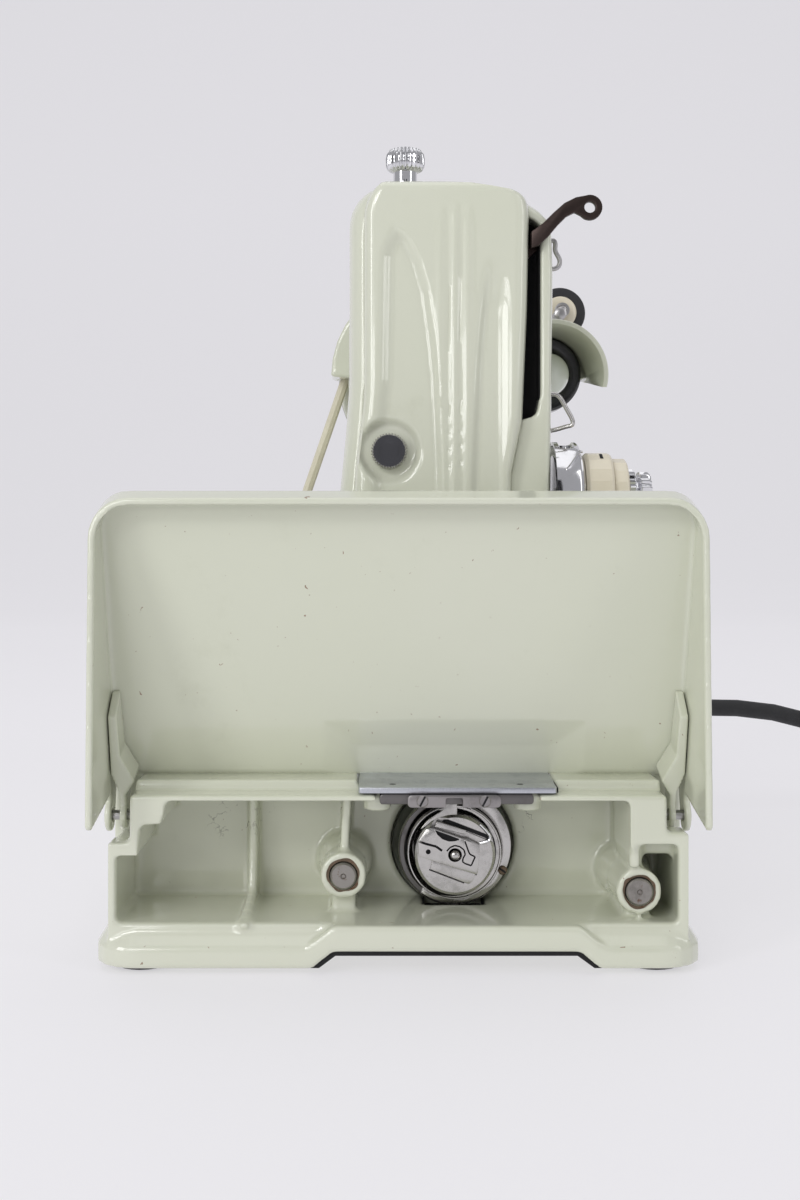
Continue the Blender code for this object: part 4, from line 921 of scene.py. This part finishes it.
def tension_drum():
    """Chrome drum in its cage, and the check spring."""
    x, z = TENSION
    rows = [(2.2, -82.4), (2.2, -59.6), (13.2, -59.4), (14, -58.8), (14.9, -54.2), (14.4, -53.5),
            (9, -53.2), (9, -52.6), (12, -52.2), (12, -51.7), (6, -51.5), (6, -50.9), (13, -50.7),
            (13, -50.1), (2.2, -50.1)]
    drum = turned("Y", TENSION, rows, 72)
    rows = [(16.3, -57.6), (17, -57.8), (17.4, -57.2), (17.4, -50), (16.3, -50)]
    cage = turned_ring("Y", TENSION, rows, 72)
    cage = cut(cage, box((x - 20, -70, z - 20), (x + 20, -40, z - 4)))
    window = prism("Z", rounded_rectangle((x - 9, -56.4), (x + 5, -51.4), 1.5), z, z + 30)
    drum = gathered(drum, cut(cage, window))
    spring = wire([(x - 14.6, -51.2, z + 6), (x - 15.2, -54, z + 9), (x - 12, -57.5, z + 13.5),
                   (x - 7.5, -58.6, z + 13.8), (x - 4, -56, z + 15.4)], 0.35, 8)
    piece("tension_visual", gathered(drum, spring), CHROME, replaced="tension_frame")


def tension_dials():
    """The two cream dials with their mark, and the knurled nut with its end knob."""
    rows = [(2.6, -59.7), (12.9, -59.7), (13.9, -60.9), (13.95, -67.8), (13.2, -68.7), (2.6, -68.7)]
    dial = faceted("Y", TENSION, rows, 20)
    rows = [(2.6, -68.9), (11.9, -68.9), (12.1, -69.3), (12.1, -73), (11.5, -73.6), (2.6, -73.6)]
    small = faceted("Y", TENSION, rows, 18)
    dials = gathered(dial, small)
    piece("tension_dial_visual", dials, CREAM, "tension", "tension_dial", width=0.25, angle=12)
    corners = ((13.2, 107), (13.98, 107), (13.98, 122), (13.2, 122))
    mark = [polar(TENSION, radius, radians(turn)) for radius, turn in corners]
    piece("dial_mark", prism("Y", mark, -65.7, -64.7), INSIDE, "tension")
    rows = [(2.5, -73.8), (8.2, -73.8), (8.8, -74.3), (8.8, -75.9), (8.2, -76.4), (5.2, -76.7),
            (5.2, -77.2), (7.2, -77.5), (7.9, -78.1), (7.9, -80.6), (7.1, -81.5), (4.4, -81.9),
            (2.5, -81.9)]
    nut = turned("Y", TENSION, rows, 176, knurl=((1, 4, 22, 0.8), (7, 10, 18, 0.9)))
    piece("tension_nut_visual", nut, CHROME, "tension", "tension_nut")


# ---- hook, bobbin case and their bracket


def plate_at(outline, front, back):
    """A flat piece over the hook's face, its outline measured from the shaft."""
    return prism("X", [(HOOK[0] + a, HOOK[1] + b) for a, b in outline], front, back)


def strip(a, b, half, front, back):
    """A straight bar between two points of the hook's face."""
    start, end = Vector(a), Vector(b)
    side = Vector((-(end - start).y, (end - start).x)).normalized() * half
    return plate_at((start + side, start - side, end - side, end + side), front, back)


def scored(target, route, half, front, back):
    """Cuts a groove along a route of points."""
    for a, b in zip(route, route[1:]):
        target = cut(target, strip(a, b, half, front, back))
    return target


def bobbin_case():
    """Cup with a stepped face: a cut-back upper half, a raised bar and a sloping tab below the latch."""
    rows = [(12.3, -103), (12.4, -116.6), (12.2, -118.3), (11.4, -118.9), (2.3, -118.9), (2.3, -105),
            (3.2, -105), (3.2, -117.4), (11.3, -117.4), (11.3, -103)]
    case = turned_ring("X", HOOK, rows, 96)
    channel = [(5.6, 11.4), (2, 11.2), (-12.4, 5.6), (-11.9, 3.6), (-3.3, 7.1), (7.4, 9)]
    case = cut(case, plate_at(channel, -120, -117.9))
    raised = [(5.6, 10.4), (4.6, 10.3), (-3.4, 7.7), (-2.9, 6.4), (6.2, 8.7)]
    bar = softened(plate_at(raised, -119.9, -117.6), 0.2)
    sloping = [(6.9, -1.4), (-6.2, -5.5), (-5.8, -6.5), (-5.1, -8), (-4.1, -8.7), (-2.6, -8.1), (7.6, -4.1)]
    tab = softened(plate_at(sloping, -119.7, -118.4), 0.12)
    for line in (((7.1, -1.75), (-6.6, -6)), ((7.9, -4.4), (-2.8, -8.5)), ((10.4, 0.2), (7.2, -1.2))):
        case = scored(case, line, 0.22, -120, -117)
    guard = [(-118.9, -7.6, 9.3), (-119.2, -9.5, 7.4), (-119.3, -10.7, 5.4), (-119.2, -10, 4.3),
             (-118.9, -7.6, 3.6)]
    fence = wire([(x, HOOK[0] + a, HOOK[1] + b) for x, a, b in guard], 0.5, 10)
    piece("bobbin_case_visual", gathered(case, bar, tab), POLISHED, "case", "bobbin_case")
    piece("case_fence", fence, CHROME, "case")
    # Painted shade: a black plate on the channel's floor stands for the shade in the groove.
    floor = [(3.4, 10.6), (2, 10.6), (-11, 5.6), (-10.6, 4.6), (-3.2, 7.4), (4.6, 9.4)]
    piece("case_channel_shade", plate_at(floor, -118.3, -117.8), INSIDE, "case")


def latch():
    """The case's latch plate, its window and grooves, and a black sheet behind it as painted shade in the
    gap.
    """
    outline = [(11.2, 3.3), (11.3, 4.4), (8.9, 8.3), (7, 8.7), (-2.6, 5.4), (-3.5, 5.5), (-7.4, 3.5),
               (-7.3, -0.3), (-6.7, -5.3), (-6.2, -5.5), (6.8, -1.4), (11.2, 0.1)]
    plate = softened(plate_at(outline, -120.9, -119.5), 0.2, 2)
    plate = cut(plate, plate_at(circle((0.1, 0.4), 2.1, 32), -125, -115))
    window = [(6.2, 8), (-1, 5.4), (-1.2, 5), (0.1, 4.6), (1.9, 4.5), (3.9, 5.2), (5.4, 6.5)]
    plate = cut(plate, plate_at(window, -122, -119))
    plate = scored(plate, [(11.2, 4.6), (8.9, 3.8), (5.8, 3), (4, 1.7)], 0.36, -122, -119)
    groove = [(2.6, 1.6), (1.6, 2.7), (0.2, 3.3), (-1.3, 3), (-2.6, 2), (-3, 0.6), (-2.3, -0.6),
              (-2.2, -1.6), (-2.8, -2.1), (-4.8, -2.8), (-6, -0.1), (-4.5, 0.6), (-4.1, 1.2), (-2.9, 4.6)]
    plate = scored(plate, groove, 0.23, -122, -119)
    plate = cut(plate, plate_at(circle((8.2, 1.4), 0.75, 20), -122, -119))
    piece("latch_visual", plate, POLISHED, "latch", "bobbin_case_latch", angle=25)
    # Painted shade: a black sheet just behind the latch plate darkens the gap under it.
    shade = [(10.4, 3.2), (8.4, 7.6), (6.9, 8), (-2.6, 4.8), (-6.6, 2.9), (-6.2, -4.6), (6.6, -0.7),
             (10.4, 0.4)]
    under = cut(plate_at(shade, -119.75, -119.55), plate_at(circle((0.1, 0.4), 2.1, 32), -125, -115))
    piece("latch_shade", under, INSIDE, "latch")


def case_base():
    """The fixed holder of the bobbin case with its bright band, finger, stud and prongs."""
    rows = [(14.5, -114.6), (14.3, -115), (14, -115), (12.9, -112), (12.8, -101.8), (1.6, -101.8),
            (1.6, -99.8), (14.5, -99.8)]
    holder = turned_ring("X", HOOK, rows, 96)
    finger = [(3.3, 15.1), (3.5, 18), (-0.4, 18), (-0.5, 15.2), (-0.5, 12.8), (1.9, 12.7), (4.6, 12),
              (7.2, 10.8), (9, 9.3), (10.6, 8.4), (8.8, 10.8), (6.7, 12.4), (4.8, 13.6), (3.6, 14.4)]
    holder = gathered(holder, softened(plate_at(finger, -121.9, -121.1), 0.2))
    lining = prism("X", circle((HOOK[0] + 0.75, HOOK[1]), 13.55, 96), -116, -110)
    band = cut(prism("X", circle(HOOK, 14.2, 96), -114.4, -112), lining)
    rows = [(1.8, -100.5), (1.8, -118.8), (1.5, -119.8), (0.9, -120.3), (0.2, -120.4)]
    stud = turned("X", HOOK, rows, 32)
    y, z = HOOK
    prongs = [box((-115, y + low, z + 13), (-111.9, y + low + 2.2, 48.6)) for low in (-5.1, 2.7)]
    stem = box((-121.7, y - 0.2, z + 15.4), (-114, y + 3.1, z + 17.8))
    base = gathered(holder, band, stud, stem, *prongs)
    piece("case_base_visual", base, POLISHED, replaced="bobbin_case_base")


def rotating_hook():
    """The rotating hook: its cup, and the gib's blade, ring and screw on the front."""
    rows = [(15.2, -107.3), (15.2, -110.4), (15.5, -110.7), (16.7, -110.7), (16.8, -107.3)]
    ring = turned_ring("X", HOOK, rows, 96)
    rows = [(16.85, -107.6), (16.8, -110.9), (16.95, -111.1), (17.1, -110.9), (17.2, -107.6)]
    edge = turned_ring("X", HOOK, rows, 96)
    blade = arc((0, 1.2), 17.6, -125, 65, 38) + arc((0, 0), 14.8, 70, -130, 40)
    plate = softened(plate_at([(-a, b) for a, b in blade], -111.5, -110.8), 0.2, 2)
    screw = slotted_screw("X", GIB_SCREW, 1.4, GIB_SCREW_FACE, 1, GIB_SCREW_TURN)
    piece("gib_visual", gathered(plate, edge), POLISHED, "hook", "hook_gib", angle=30)
    piece("gib_ring", ring, GUNMETAL, "hook", angle=30)
    piece("gib_screw", screw, RUSTY, "hook", angle=30)
    rows = [(18.9, -101), (17, -106.6), (16.6, -107), (15.9, -107), (15.6, -106.6), (15.6, -99.4),
            (4.3, -99.4), (4.3, -96.5), (17.5, -96.5), (18.6, -97.5), (18.9, -98.2)]
    piece("hook_visual", turned_ring("X", HOOK, rows, 96), DARK_STEEL, "hook", "rotating_hook")


def bed_openings():
    """Painted shade: black sheets lining the well in the bed's floor below the hook, and a black strip
    under the bed's arch as its painted shadow.
    """
    y = HOOK[0]
    # Painted shade: black floor, back and sides inside the well below the hook.
    floor = box((-112.3, y - 9.3, 7.2), (-99.4, y + 9.3, 7.4))
    back = box((-100, y - 9.3, 7.2), (-99.4, y + 9.3, 11.2))
    sides = [box((-112.3, y + out - 0.1, 7.2), (-99.4, y + out + 0.1, 13.8)) for out in (-9.2, 9.2)]
    piece("well_shade", gathered(floor, back, *sides), INSIDE)
    # Painted shadow: a black strip just behind the lip, seen below it as the shadow under the arch.
    edge = [(25.6, 1.95), (19.2, 7.1), (-53, 7.1), (-59.1, 1.95), (-57, 1.95), (-52.1, 5.5), (18.3, 5.5),
            (23.1, 1.95)]
    piece("arch_shadow", prism("X", edge, -138.9, -137.6), INSIDE)


def bracket():
    """The bracket that holds the case base still, its clip and screws, and black bars in the screws' slots
    as painted shade.
    """
    bar = prism("X", rounded_rectangle((-39.7, 48.9), (5.5, 51.9), 1), -135.6, -128.2)
    clip = prism("X", rounded_rectangle((-29.9, 48.4), (-2.7, 51.9), 1.2), -138.2, -135.3)
    clip = cut(clip, prism("X", rounded_rectangle((-18.8, 46), (-13.8, 51.2), 0.6), -140, -134))
    softened(bar, 0.35)
    softened(clip, 0.25, 2)
    places = [(y, 50.3) for y in (-7, -25.2)]
    face, turn = -138.9, radians(118)
    screws = [slotted_screw("X", place, 1.75, face, 1, turn) for place in places]
    tongue = box((-129, -20, 49.6), (-113, -15, 51.6))
    foot = box((-115.6, -20, 46.6), (-113, -15, 51))
    piece("bracket_visual", gathered(bar, tongue, foot), GUNMETAL, replaced="position_bracket")
    piece("bracket_clip", gathered(clip, *screws), CLIP_STEEL)
    # Painted shade: black bars in the slots of the clip screws and of the gib screw.
    slots = [slot_shade(place, 1.6, face, turn) for place in places]
    piece("bracket_slot_shade", gathered(*slots), INSIDE)
    piece("gib_slot_shade", slot_shade(GIB_SCREW, 1.2, GIB_SCREW_FACE, GIB_SCREW_TURN), INSIDE, "hook")


def needle_plate():
    """The needle plate with its stepped left end, slots for the feed, two screw dimples, and black fills as
    painted shade in the dimples and in the gap along its edge.
    """
    side = [(-81, 52.4), (-81, 54.4), (-125.3, 54.4), (-127.4, 53.85), (-135.8, 53.85), (-135.8, 52.2),
            (-125.1, 52.2), (-125.1, 52.4)]
    whole = prism("Y", side, -46.5, 11.7)
    whole = kept(whole, prism("Z", rounded_rectangle((-135.8, -46.5), (-81, 11.7), 1), 50, 56))
    softened(whole, 0.3, 2, 20)
    for x in (-99.5, -88.5):
        whole = cut(whole, prism("Z", rounded_rectangle((x - 1.9, -31), (x + 1.9, -4), 1.2), 50, 56))
    whole = cut(whole, prism("Z", circle(NEEDLE, 1.5, 24), 50, 56))
    dimples = [(-129.2, y) for y in (1.6, -36.2)]
    whole = cut(whole, *[turned("Z", place, [(1.1, 52.9), (1.1, 54.2)], 24) for place in dimples])
    piece("plate_visual", whole, PLATE_STEEL, replaced="needle_plate", angle=30)
    # Painted shade: black fills in the two screw dimples and a black strip in the gap at the plate's edge.
    dimple_shade = [turned("Z", place, [(1.05, 52.9), (1.05, 53.8)], 24) for place in dimples]
    gap = box((-134.8, -46.95, 52.2), (-100, -46.6, 53.7))
    piece("plate_shade", gathered(gap, *dimple_shade), INSIDE)


def lamp():
    """Half-round shade whose lower edge climbs towards the back, the ringed socket and the bulb's end."""
    y, z = LAMP
    rows = [(17.3, -59.6), (17.5, -60), (18.7, -60), (19, -59.6), (19, 2), (17.3, 2)]
    shade = turned_ring("X", LAMP, rows, 96)
    shade = kept(shade, box((-70, y - 30, z - 9), (10, -38.3, z + 30)))
    under = [(-70, z - 30), (10, z - 30), (10, z + 1.8), (-70, z - 5.4)]
    shade = cut(shade, prism("Y", under, y - 40, y + 40))
    upper = box((-70, y - 30, z + 2), (10, -38.3, z + 30))
    shade = joined(shade, kept(turned("X", LAMP, [(18.2, 0.4), (18.2, 1.6)], 48), upper))
    lean = Matrix.Shear("XY", 4, (0, 0))
    lean[2][0] = 0.05
    shade.data.transform(Matrix.Translation((0, 0, 1.1)) @ lean)
    piece("shade_visual", shade, ENAMEL, replaced="lamp_shade", width=0.3)
    rows = [(8.4, -9), (8.4, -15.2), (9.4, -16), (12.8, -16), (13.6, -15.2), (13.6, -4.5), (12.6, -3.4),
            (9.2, -1), (9.2, 7.4), (8.6, 8), (3, 8), (3, -9)]
    socket = turned_ring("X", (y - 1.3, z + 3), [(r + 0.4 * (r > 9), x) for r, x in rows], 72)
    socket = joined(socket, box((-14, y, z - 4), (-2, -38.3, z + 6)))
    piece("socket_visual", socket, BLACK, replaced="lamp_socket", width=0.3)
    rows = [(0.6, -50), (3.4, -49.2), (5.8, -47.2), (7.2, -44.4), (7.7, -41), (7.6, -36), (7.1, -24),
            (7, -18), (7, -9.4)]
    piece("bulb_visual", turned("X", LAMP, rows, 48), BULB, replaced="lamp_bulb", angle=60)


def winder():
    """The bobbin winder: swing arm, spindle, and the rubber tyre on its pale hub."""
    start, end = Vector(WINDER_PIVOT), Vector(WINDER)
    bend = start + (end - start) * 0.85
    side = Vector((start.y - end.y, end.x - start.x)).normalized() * 2.6
    lower = prism("X", (start + side * 1.6, bend + side, bend - side, start - side * 1.6), 99, 102.4)
    boss = turned("X", WINDER_PIVOT, [(5.9, 98.6), (5.9, 102.6), (5.4, 102.8)], 40)
    post = turned("X", bend, [(1.6, 98), (2.7, 98.4), (2.7, 123.6)], 32)
    upper = prism("X", (bend + side, end + side, end - side, bend - side), 121, 123.6)
    upper = joined(upper, turned("X", WINDER, [(3.4, 120.6), (3.4, 124)], 32))
    pivot_hole = prism("X", circle(WINDER_PIVOT, 2.5, 24), 90, 115)
    spindle_hole = prism("X", circle(WINDER, 2.1, 24), 115, 130)
    arm = cut(joined(lower, boss, post, upper), pivot_hole, spindle_hole)
    piece("winder_arm", arm, STEEL, "winder", "winder_bracket", width=0.25)
    rod = turned("X", WINDER, [(0.8, 119.6), (1.8, 120), (1.8, 128.6)], 32)
    piece("winder_rod", rod, STEEL, "winder_wheel", "winder_spindle")
    rows = [(2.1, 128.4), (3.2, 128), (6.6, 128.2), (7.6, 128.9), (7.7, 137), (6.8, 137.6), (3, 138.4),
            (2.1, 138.9)]
    piece("winder_hub", turned("X", WINDER, rows, 48), CREAM, "winder_wheel")
    rows = [(10.4, 129), (11.6, 129.6), (12, 131), (12, 135), (11.6, 136.2), (10.4, 136.8), (7.8, 136.8),
            (7.8, 129)]
    piece("winder_tyre_visual", turned_ring("X", WINDER, rows, 64), RUBBER, "winder_wheel", "winder_tyre")


def rust_ring(centre, face, start, sides=72):
    """A thin uneven ring of rust that has crept round a shaft."""
    loops = []
    for radius, depth, least in ((4.35, 0, 4.3), (4.35, -0.12, 4.3), (5, -0.12, 4.45), (5, 0, 4.45)):
        loop = []
        for k in range(sides):
            angle = 2 * pi * k / sides
            wander = noise.noise((cos(angle) * 1.8 + start, sin(angle) * 1.8, start))
            reach = max(radius + (wander * 0.7 if radius > 4.5 else 0), least)
            loop.append((face + depth, *polar(centre, reach, angle)))
        loops.append(loop)
    return closed_ring(loops)


def shaft_ends():
    """The two feed shafts, chamfered and centre-drilled, and the rust that has crept round them."""
    ends = (("rock", FRONT_SHAFT, -133.2, "feed_rocker"), ("lift", REAR_SHAFT, -126.2, "feed_lifter"))
    for name, centre, face, body in ends:
        rows = [(3.97, -20), (3.97, face + 0.5), (3.5, face), (0.9, face), (0.5, face + 0.5)]
        shaft = turned("X", centre, rows, 48)
        piece(f"shaft_{name}_visual", shaft, SHAFT_END, body, f"feed_{name}_shaft", angle=25)
    rings = gathered(rust_ring(FRONT_SHAFT, -131.95, 3.1), rust_ring(REAR_SHAFT, -124.95, 7.7))
    piece("rust_rings", rings, RUSTY)


# ---- drive and the far end


def handwheel():
    """Wheel with a rolled rim and its chrome band, a belt groove and six dimples, and the clutch knob."""
    rows = [(5.4, 118.2), (36, 117.9), (38, 118.1), (38.4, 118.6), (35, 120.4), (35, 123.6), (38.4, 125.4),
            (38.4, 126.4), (40.6, 127.4), (42, 128.7), (42.8, 130.8), (43, 134), (42.8, 137.4),
            (41.8, 139.8), (40, 141), (37.4, 140.9), (36, 139.6), (34.6, 136.8), (32, 135.8), (22, 135.2),
            (18.4, 135.6), (16.8, 138.2), (15.4, 141.2), (14.6, 141.7), (5.4, 141.7)]
    wheel = turned_ring("X", SHAFT, rows, 120)
    for k in range(6):
        centre = polar(SHAFT, 27.5, radians(60 * k + 30))
        wheel = cut(wheel, turned("X", centre, [(4.3, 133.2), (4.8, 136.6)], 32))
    piece("handwheel_visual", wheel, ENAMEL, "drive", "handwheel", angle=40)
    rows = [(43.05, 132.2), (43.15, 132.6), (43.15, 135.4), (43.05, 135.8), (42.4, 135.6), (42.4, 132.4)]
    piece("handwheel_band", turned_ring("X", SHAFT, rows, 144), CHROME, "drive")
    rows = [(12, 142.2), (12.8, 142.6), (13.1, 143.4), (13.1, 149), (12.6, 149.9), (11.4, 150.6),
            (9.8, 150.8), (9.2, 150.2), (5, 150), (4.6, 151.2), (3.6, 151.8), (1, 151.8)]
    knob = turned("X", SHAFT, rows, 216, knurl=((1, 4, 54, 0.4),))
    piece("clutch_visual", knob, CHROME, "clutch", "clutch_knob")


def motor():
    """Motor shell with cooling slots over a black core as painted shade inside, its mount, bearing cap,
    screws and pulley.
    """
    y, z = MOTOR
    rows = [(6, 46.2), (15.6, 46.4), (19.8, 47.4), (22.4, 49.2), (23.7, 52), (24, 56), (24, 68),
            (23.5, 68.4), (23.5, 69.4), (24, 69.8), (24, 94.6), (23.6, 98), (22, 101), (19.6, 102.6),
            (8.4, 103.1), (8, 103.3)]
    shell = turned("X", MOTOR, rows, 96)
    for k in range(8):
        centre = polar(MOTOR, 24.5, radians(45 * k + 22))
        slots = [prism("X", circle(centre, 4.2, 20), x, x + 1.9) for x in (56.5, 61.5, 86.5, 91.5)]
        shell = cut(shell, *slots)
    mount = softened(box((64, 8.4, z - 8), (88, y - 18, z + 8)), 1)
    shell = joined(shell, mount)
    piece("motor_visual", shell, ENAMEL, replaced="motor_body", angle=40)
    # Painted shade: a black cylinder seen through the cooling slots stands for the dark inside of the
    # motor.
    piece("motor_inside_shade", turned("X", MOTOR, [(21.6, 55), (21.6, 95)], 48), INSIDE)
    screws = [slotted_screw("X", polar(MOTOR, 14, a), 1.9, 45.2, 1.3, a) for a in (0.9, 0.9 + pi)]
    rows = [(5.6, 47), (5.6, 45.8), (5, 45.2), (1, 45)]
    piece("motor_trim", gathered(turned("X", MOTOR, rows, 36), *screws), STEEL)
    rows = [(3, 103.6), (6.4, 103.8), (6.4, 116.6), (10.8, 117), (11.2, 117.4), (11.2, 118.4), (8, 120.4),
            (8, 123.6), (11.2, 125.4), (11.2, 126.2), (10.6, 126.6), (6, 127), (5.4, 127.4), (2, 127.4)]
    piece("pulley_visual", turned("X", MOTOR, rows, 64), STEEL, "pulley", "motor_pulley")


def controls():
    """The stitch lever with its knurled end, and the spool pin."""
    arm = softened(box((91, -44.6, 104.8), (93, -20, 107.2)), 0.3)
    rows = [(2.6, -43.6), (4.2, -44.6), (4.6, -46.4), (4.6, -50.2), (4, -51.6), (2.4, -52)]
    ball = turned("Y", (92, 106), rows, 120, knurl=((1, 4, 24, 0.35),))
    piece("stitch_visual", joined(arm, ball), CHROME, "stitch", "stitch_lever")
    rows = [(4, 230.6), (5, 230.8), (5, 231.6), (4.4, 232.3), (2.4, 232.4), (2, 233.4), (1.7, 238),
            (1.6, 260), (1.2, 262.8), (0.5, 263.3)]
    piece("spool_pin_visual", turned("Z", (70, -15), rows, 32), CHROME, replaced="spool_pin")


def needle_and_clamp():
    """Needle clamp with its screw, and the needle with its eye."""
    nx, ny = NEEDLE
    rows = [(3.3, 84), (4.9, 84.4), (5.2, 85), (5.2, 90.4), (4.8, 91.2), (3.8, 92)]
    clamp = turned("Z", NEEDLE, rows, 48)
    rows = [(1.6, nx - 4), (1.6, nx - 6.6), (2.7, nx - 6.8), (2.9, nx - 7.2), (2.9, nx - 10.4),
            (2.5, nx - 10.9)]
    screw = turned("X", (ny, 87.8), rows, 120, knurl=((3, 4, 24, 0.25),))
    piece("clamp_visual", gathered(clamp, screw), CHROME, "needle_bar", "needle_clamp")
    rows = [(0.05, 60.5), (0.3, 61.8), (0.42, 63), (0.45, 71), (0.95, 72.6), (1, 83.7)]
    point = cut(turned("Z", NEEDLE, rows, 16), box((nx - 2, ny - 0.16, 62.9), (nx + 2, ny + 0.16, 64.2)))
    piece("needle_visual", point, STEEL, "needle_bar", "needle")


def presser_foot():
    """The presser foot with its split toe, and its screw."""
    px, py = PRESSER
    foot = box((px - 4.4, py + 3.9, 62.4), (px + 4.4, py + 6.5, 84))
    foot = joined(foot, box((px - 4.4, py - 3.3, 62.2), (px + 4.4, py + 6.5, 65.9)))
    toe = [(2, 62.5), (2, 55.2), (-26, 55.2), (-28.4, 56.4), (-30, 58.6), (-30.4, 60.2), (-27.6, 58.2),
           (-25, 57.2), (-4, 57.6), (-3, 62.5)]
    foot = joined(foot, prism("X", [(py + y, z) for y, z in toe], px - 8.4, px + 8.4))
    foot = cut(foot, prism("Z", rounded_rectangle((px - 2.2, py - 34), (px + 2.2, py - 10), 2), 50, 64))
    foot = cut(foot, prism("Y", circle((px, 77.5), 1.9, 24), py + 2, py + 8))
    piece("foot_visual", foot, CHROME, "presser", "presser_foot", width=0.35)
    rows = [(1.6, py + 4), (1.6, py + 6.9), (4, py + 6.9), (4.3, py + 7.2), (4.3, py + 9.6), (3.8, py + 10)]
    screw = turned("Y", (px, 77.5), rows, 120, knurl=((3, 4, 30, 0.3),))
    piece("foot_screw_visual", screw, CHROME, "presser", "presser_foot_screw")


# ---- the rest, and the whole


def dressed():
    """The pieces that keep the frame's own shapes."""
    for side in ("front", "rear"):
        for end in ("left", "right"):
            dress(f"foot_{end}_{side}", RUBBER)
    for name in ("drip_pan", "bobbin", "hook_shaft", "arm_shaft", "feed_dog", "needle_bar", "presser_bar"):
        dress(name, STEEL)
    dress("presser_lifter", CHROME, 0.0006, 3)
    for name in ("light_switch", "switch_lever", "terminal_block", "cord_connector"):
        dress(name, BLACK, 0.0006, 3)
    dress("drive_belt", BELT, 0)


def main():
    camera()
    studio()
    mains_lead()
    castings()
    head_fittings()
    thread_guides()
    lever()
    tension_drum()
    tension_dials()
    bobbin_case()
    latch()
    case_base()
    rotating_hook()
    bed_openings()
    bracket()
    needle_plate()
    shaft_ends()
    lamp()
    winder()
    handwheel()
    motor()
    controls()
    needle_and_clamp()
    presser_foot()
    dressed()


main()
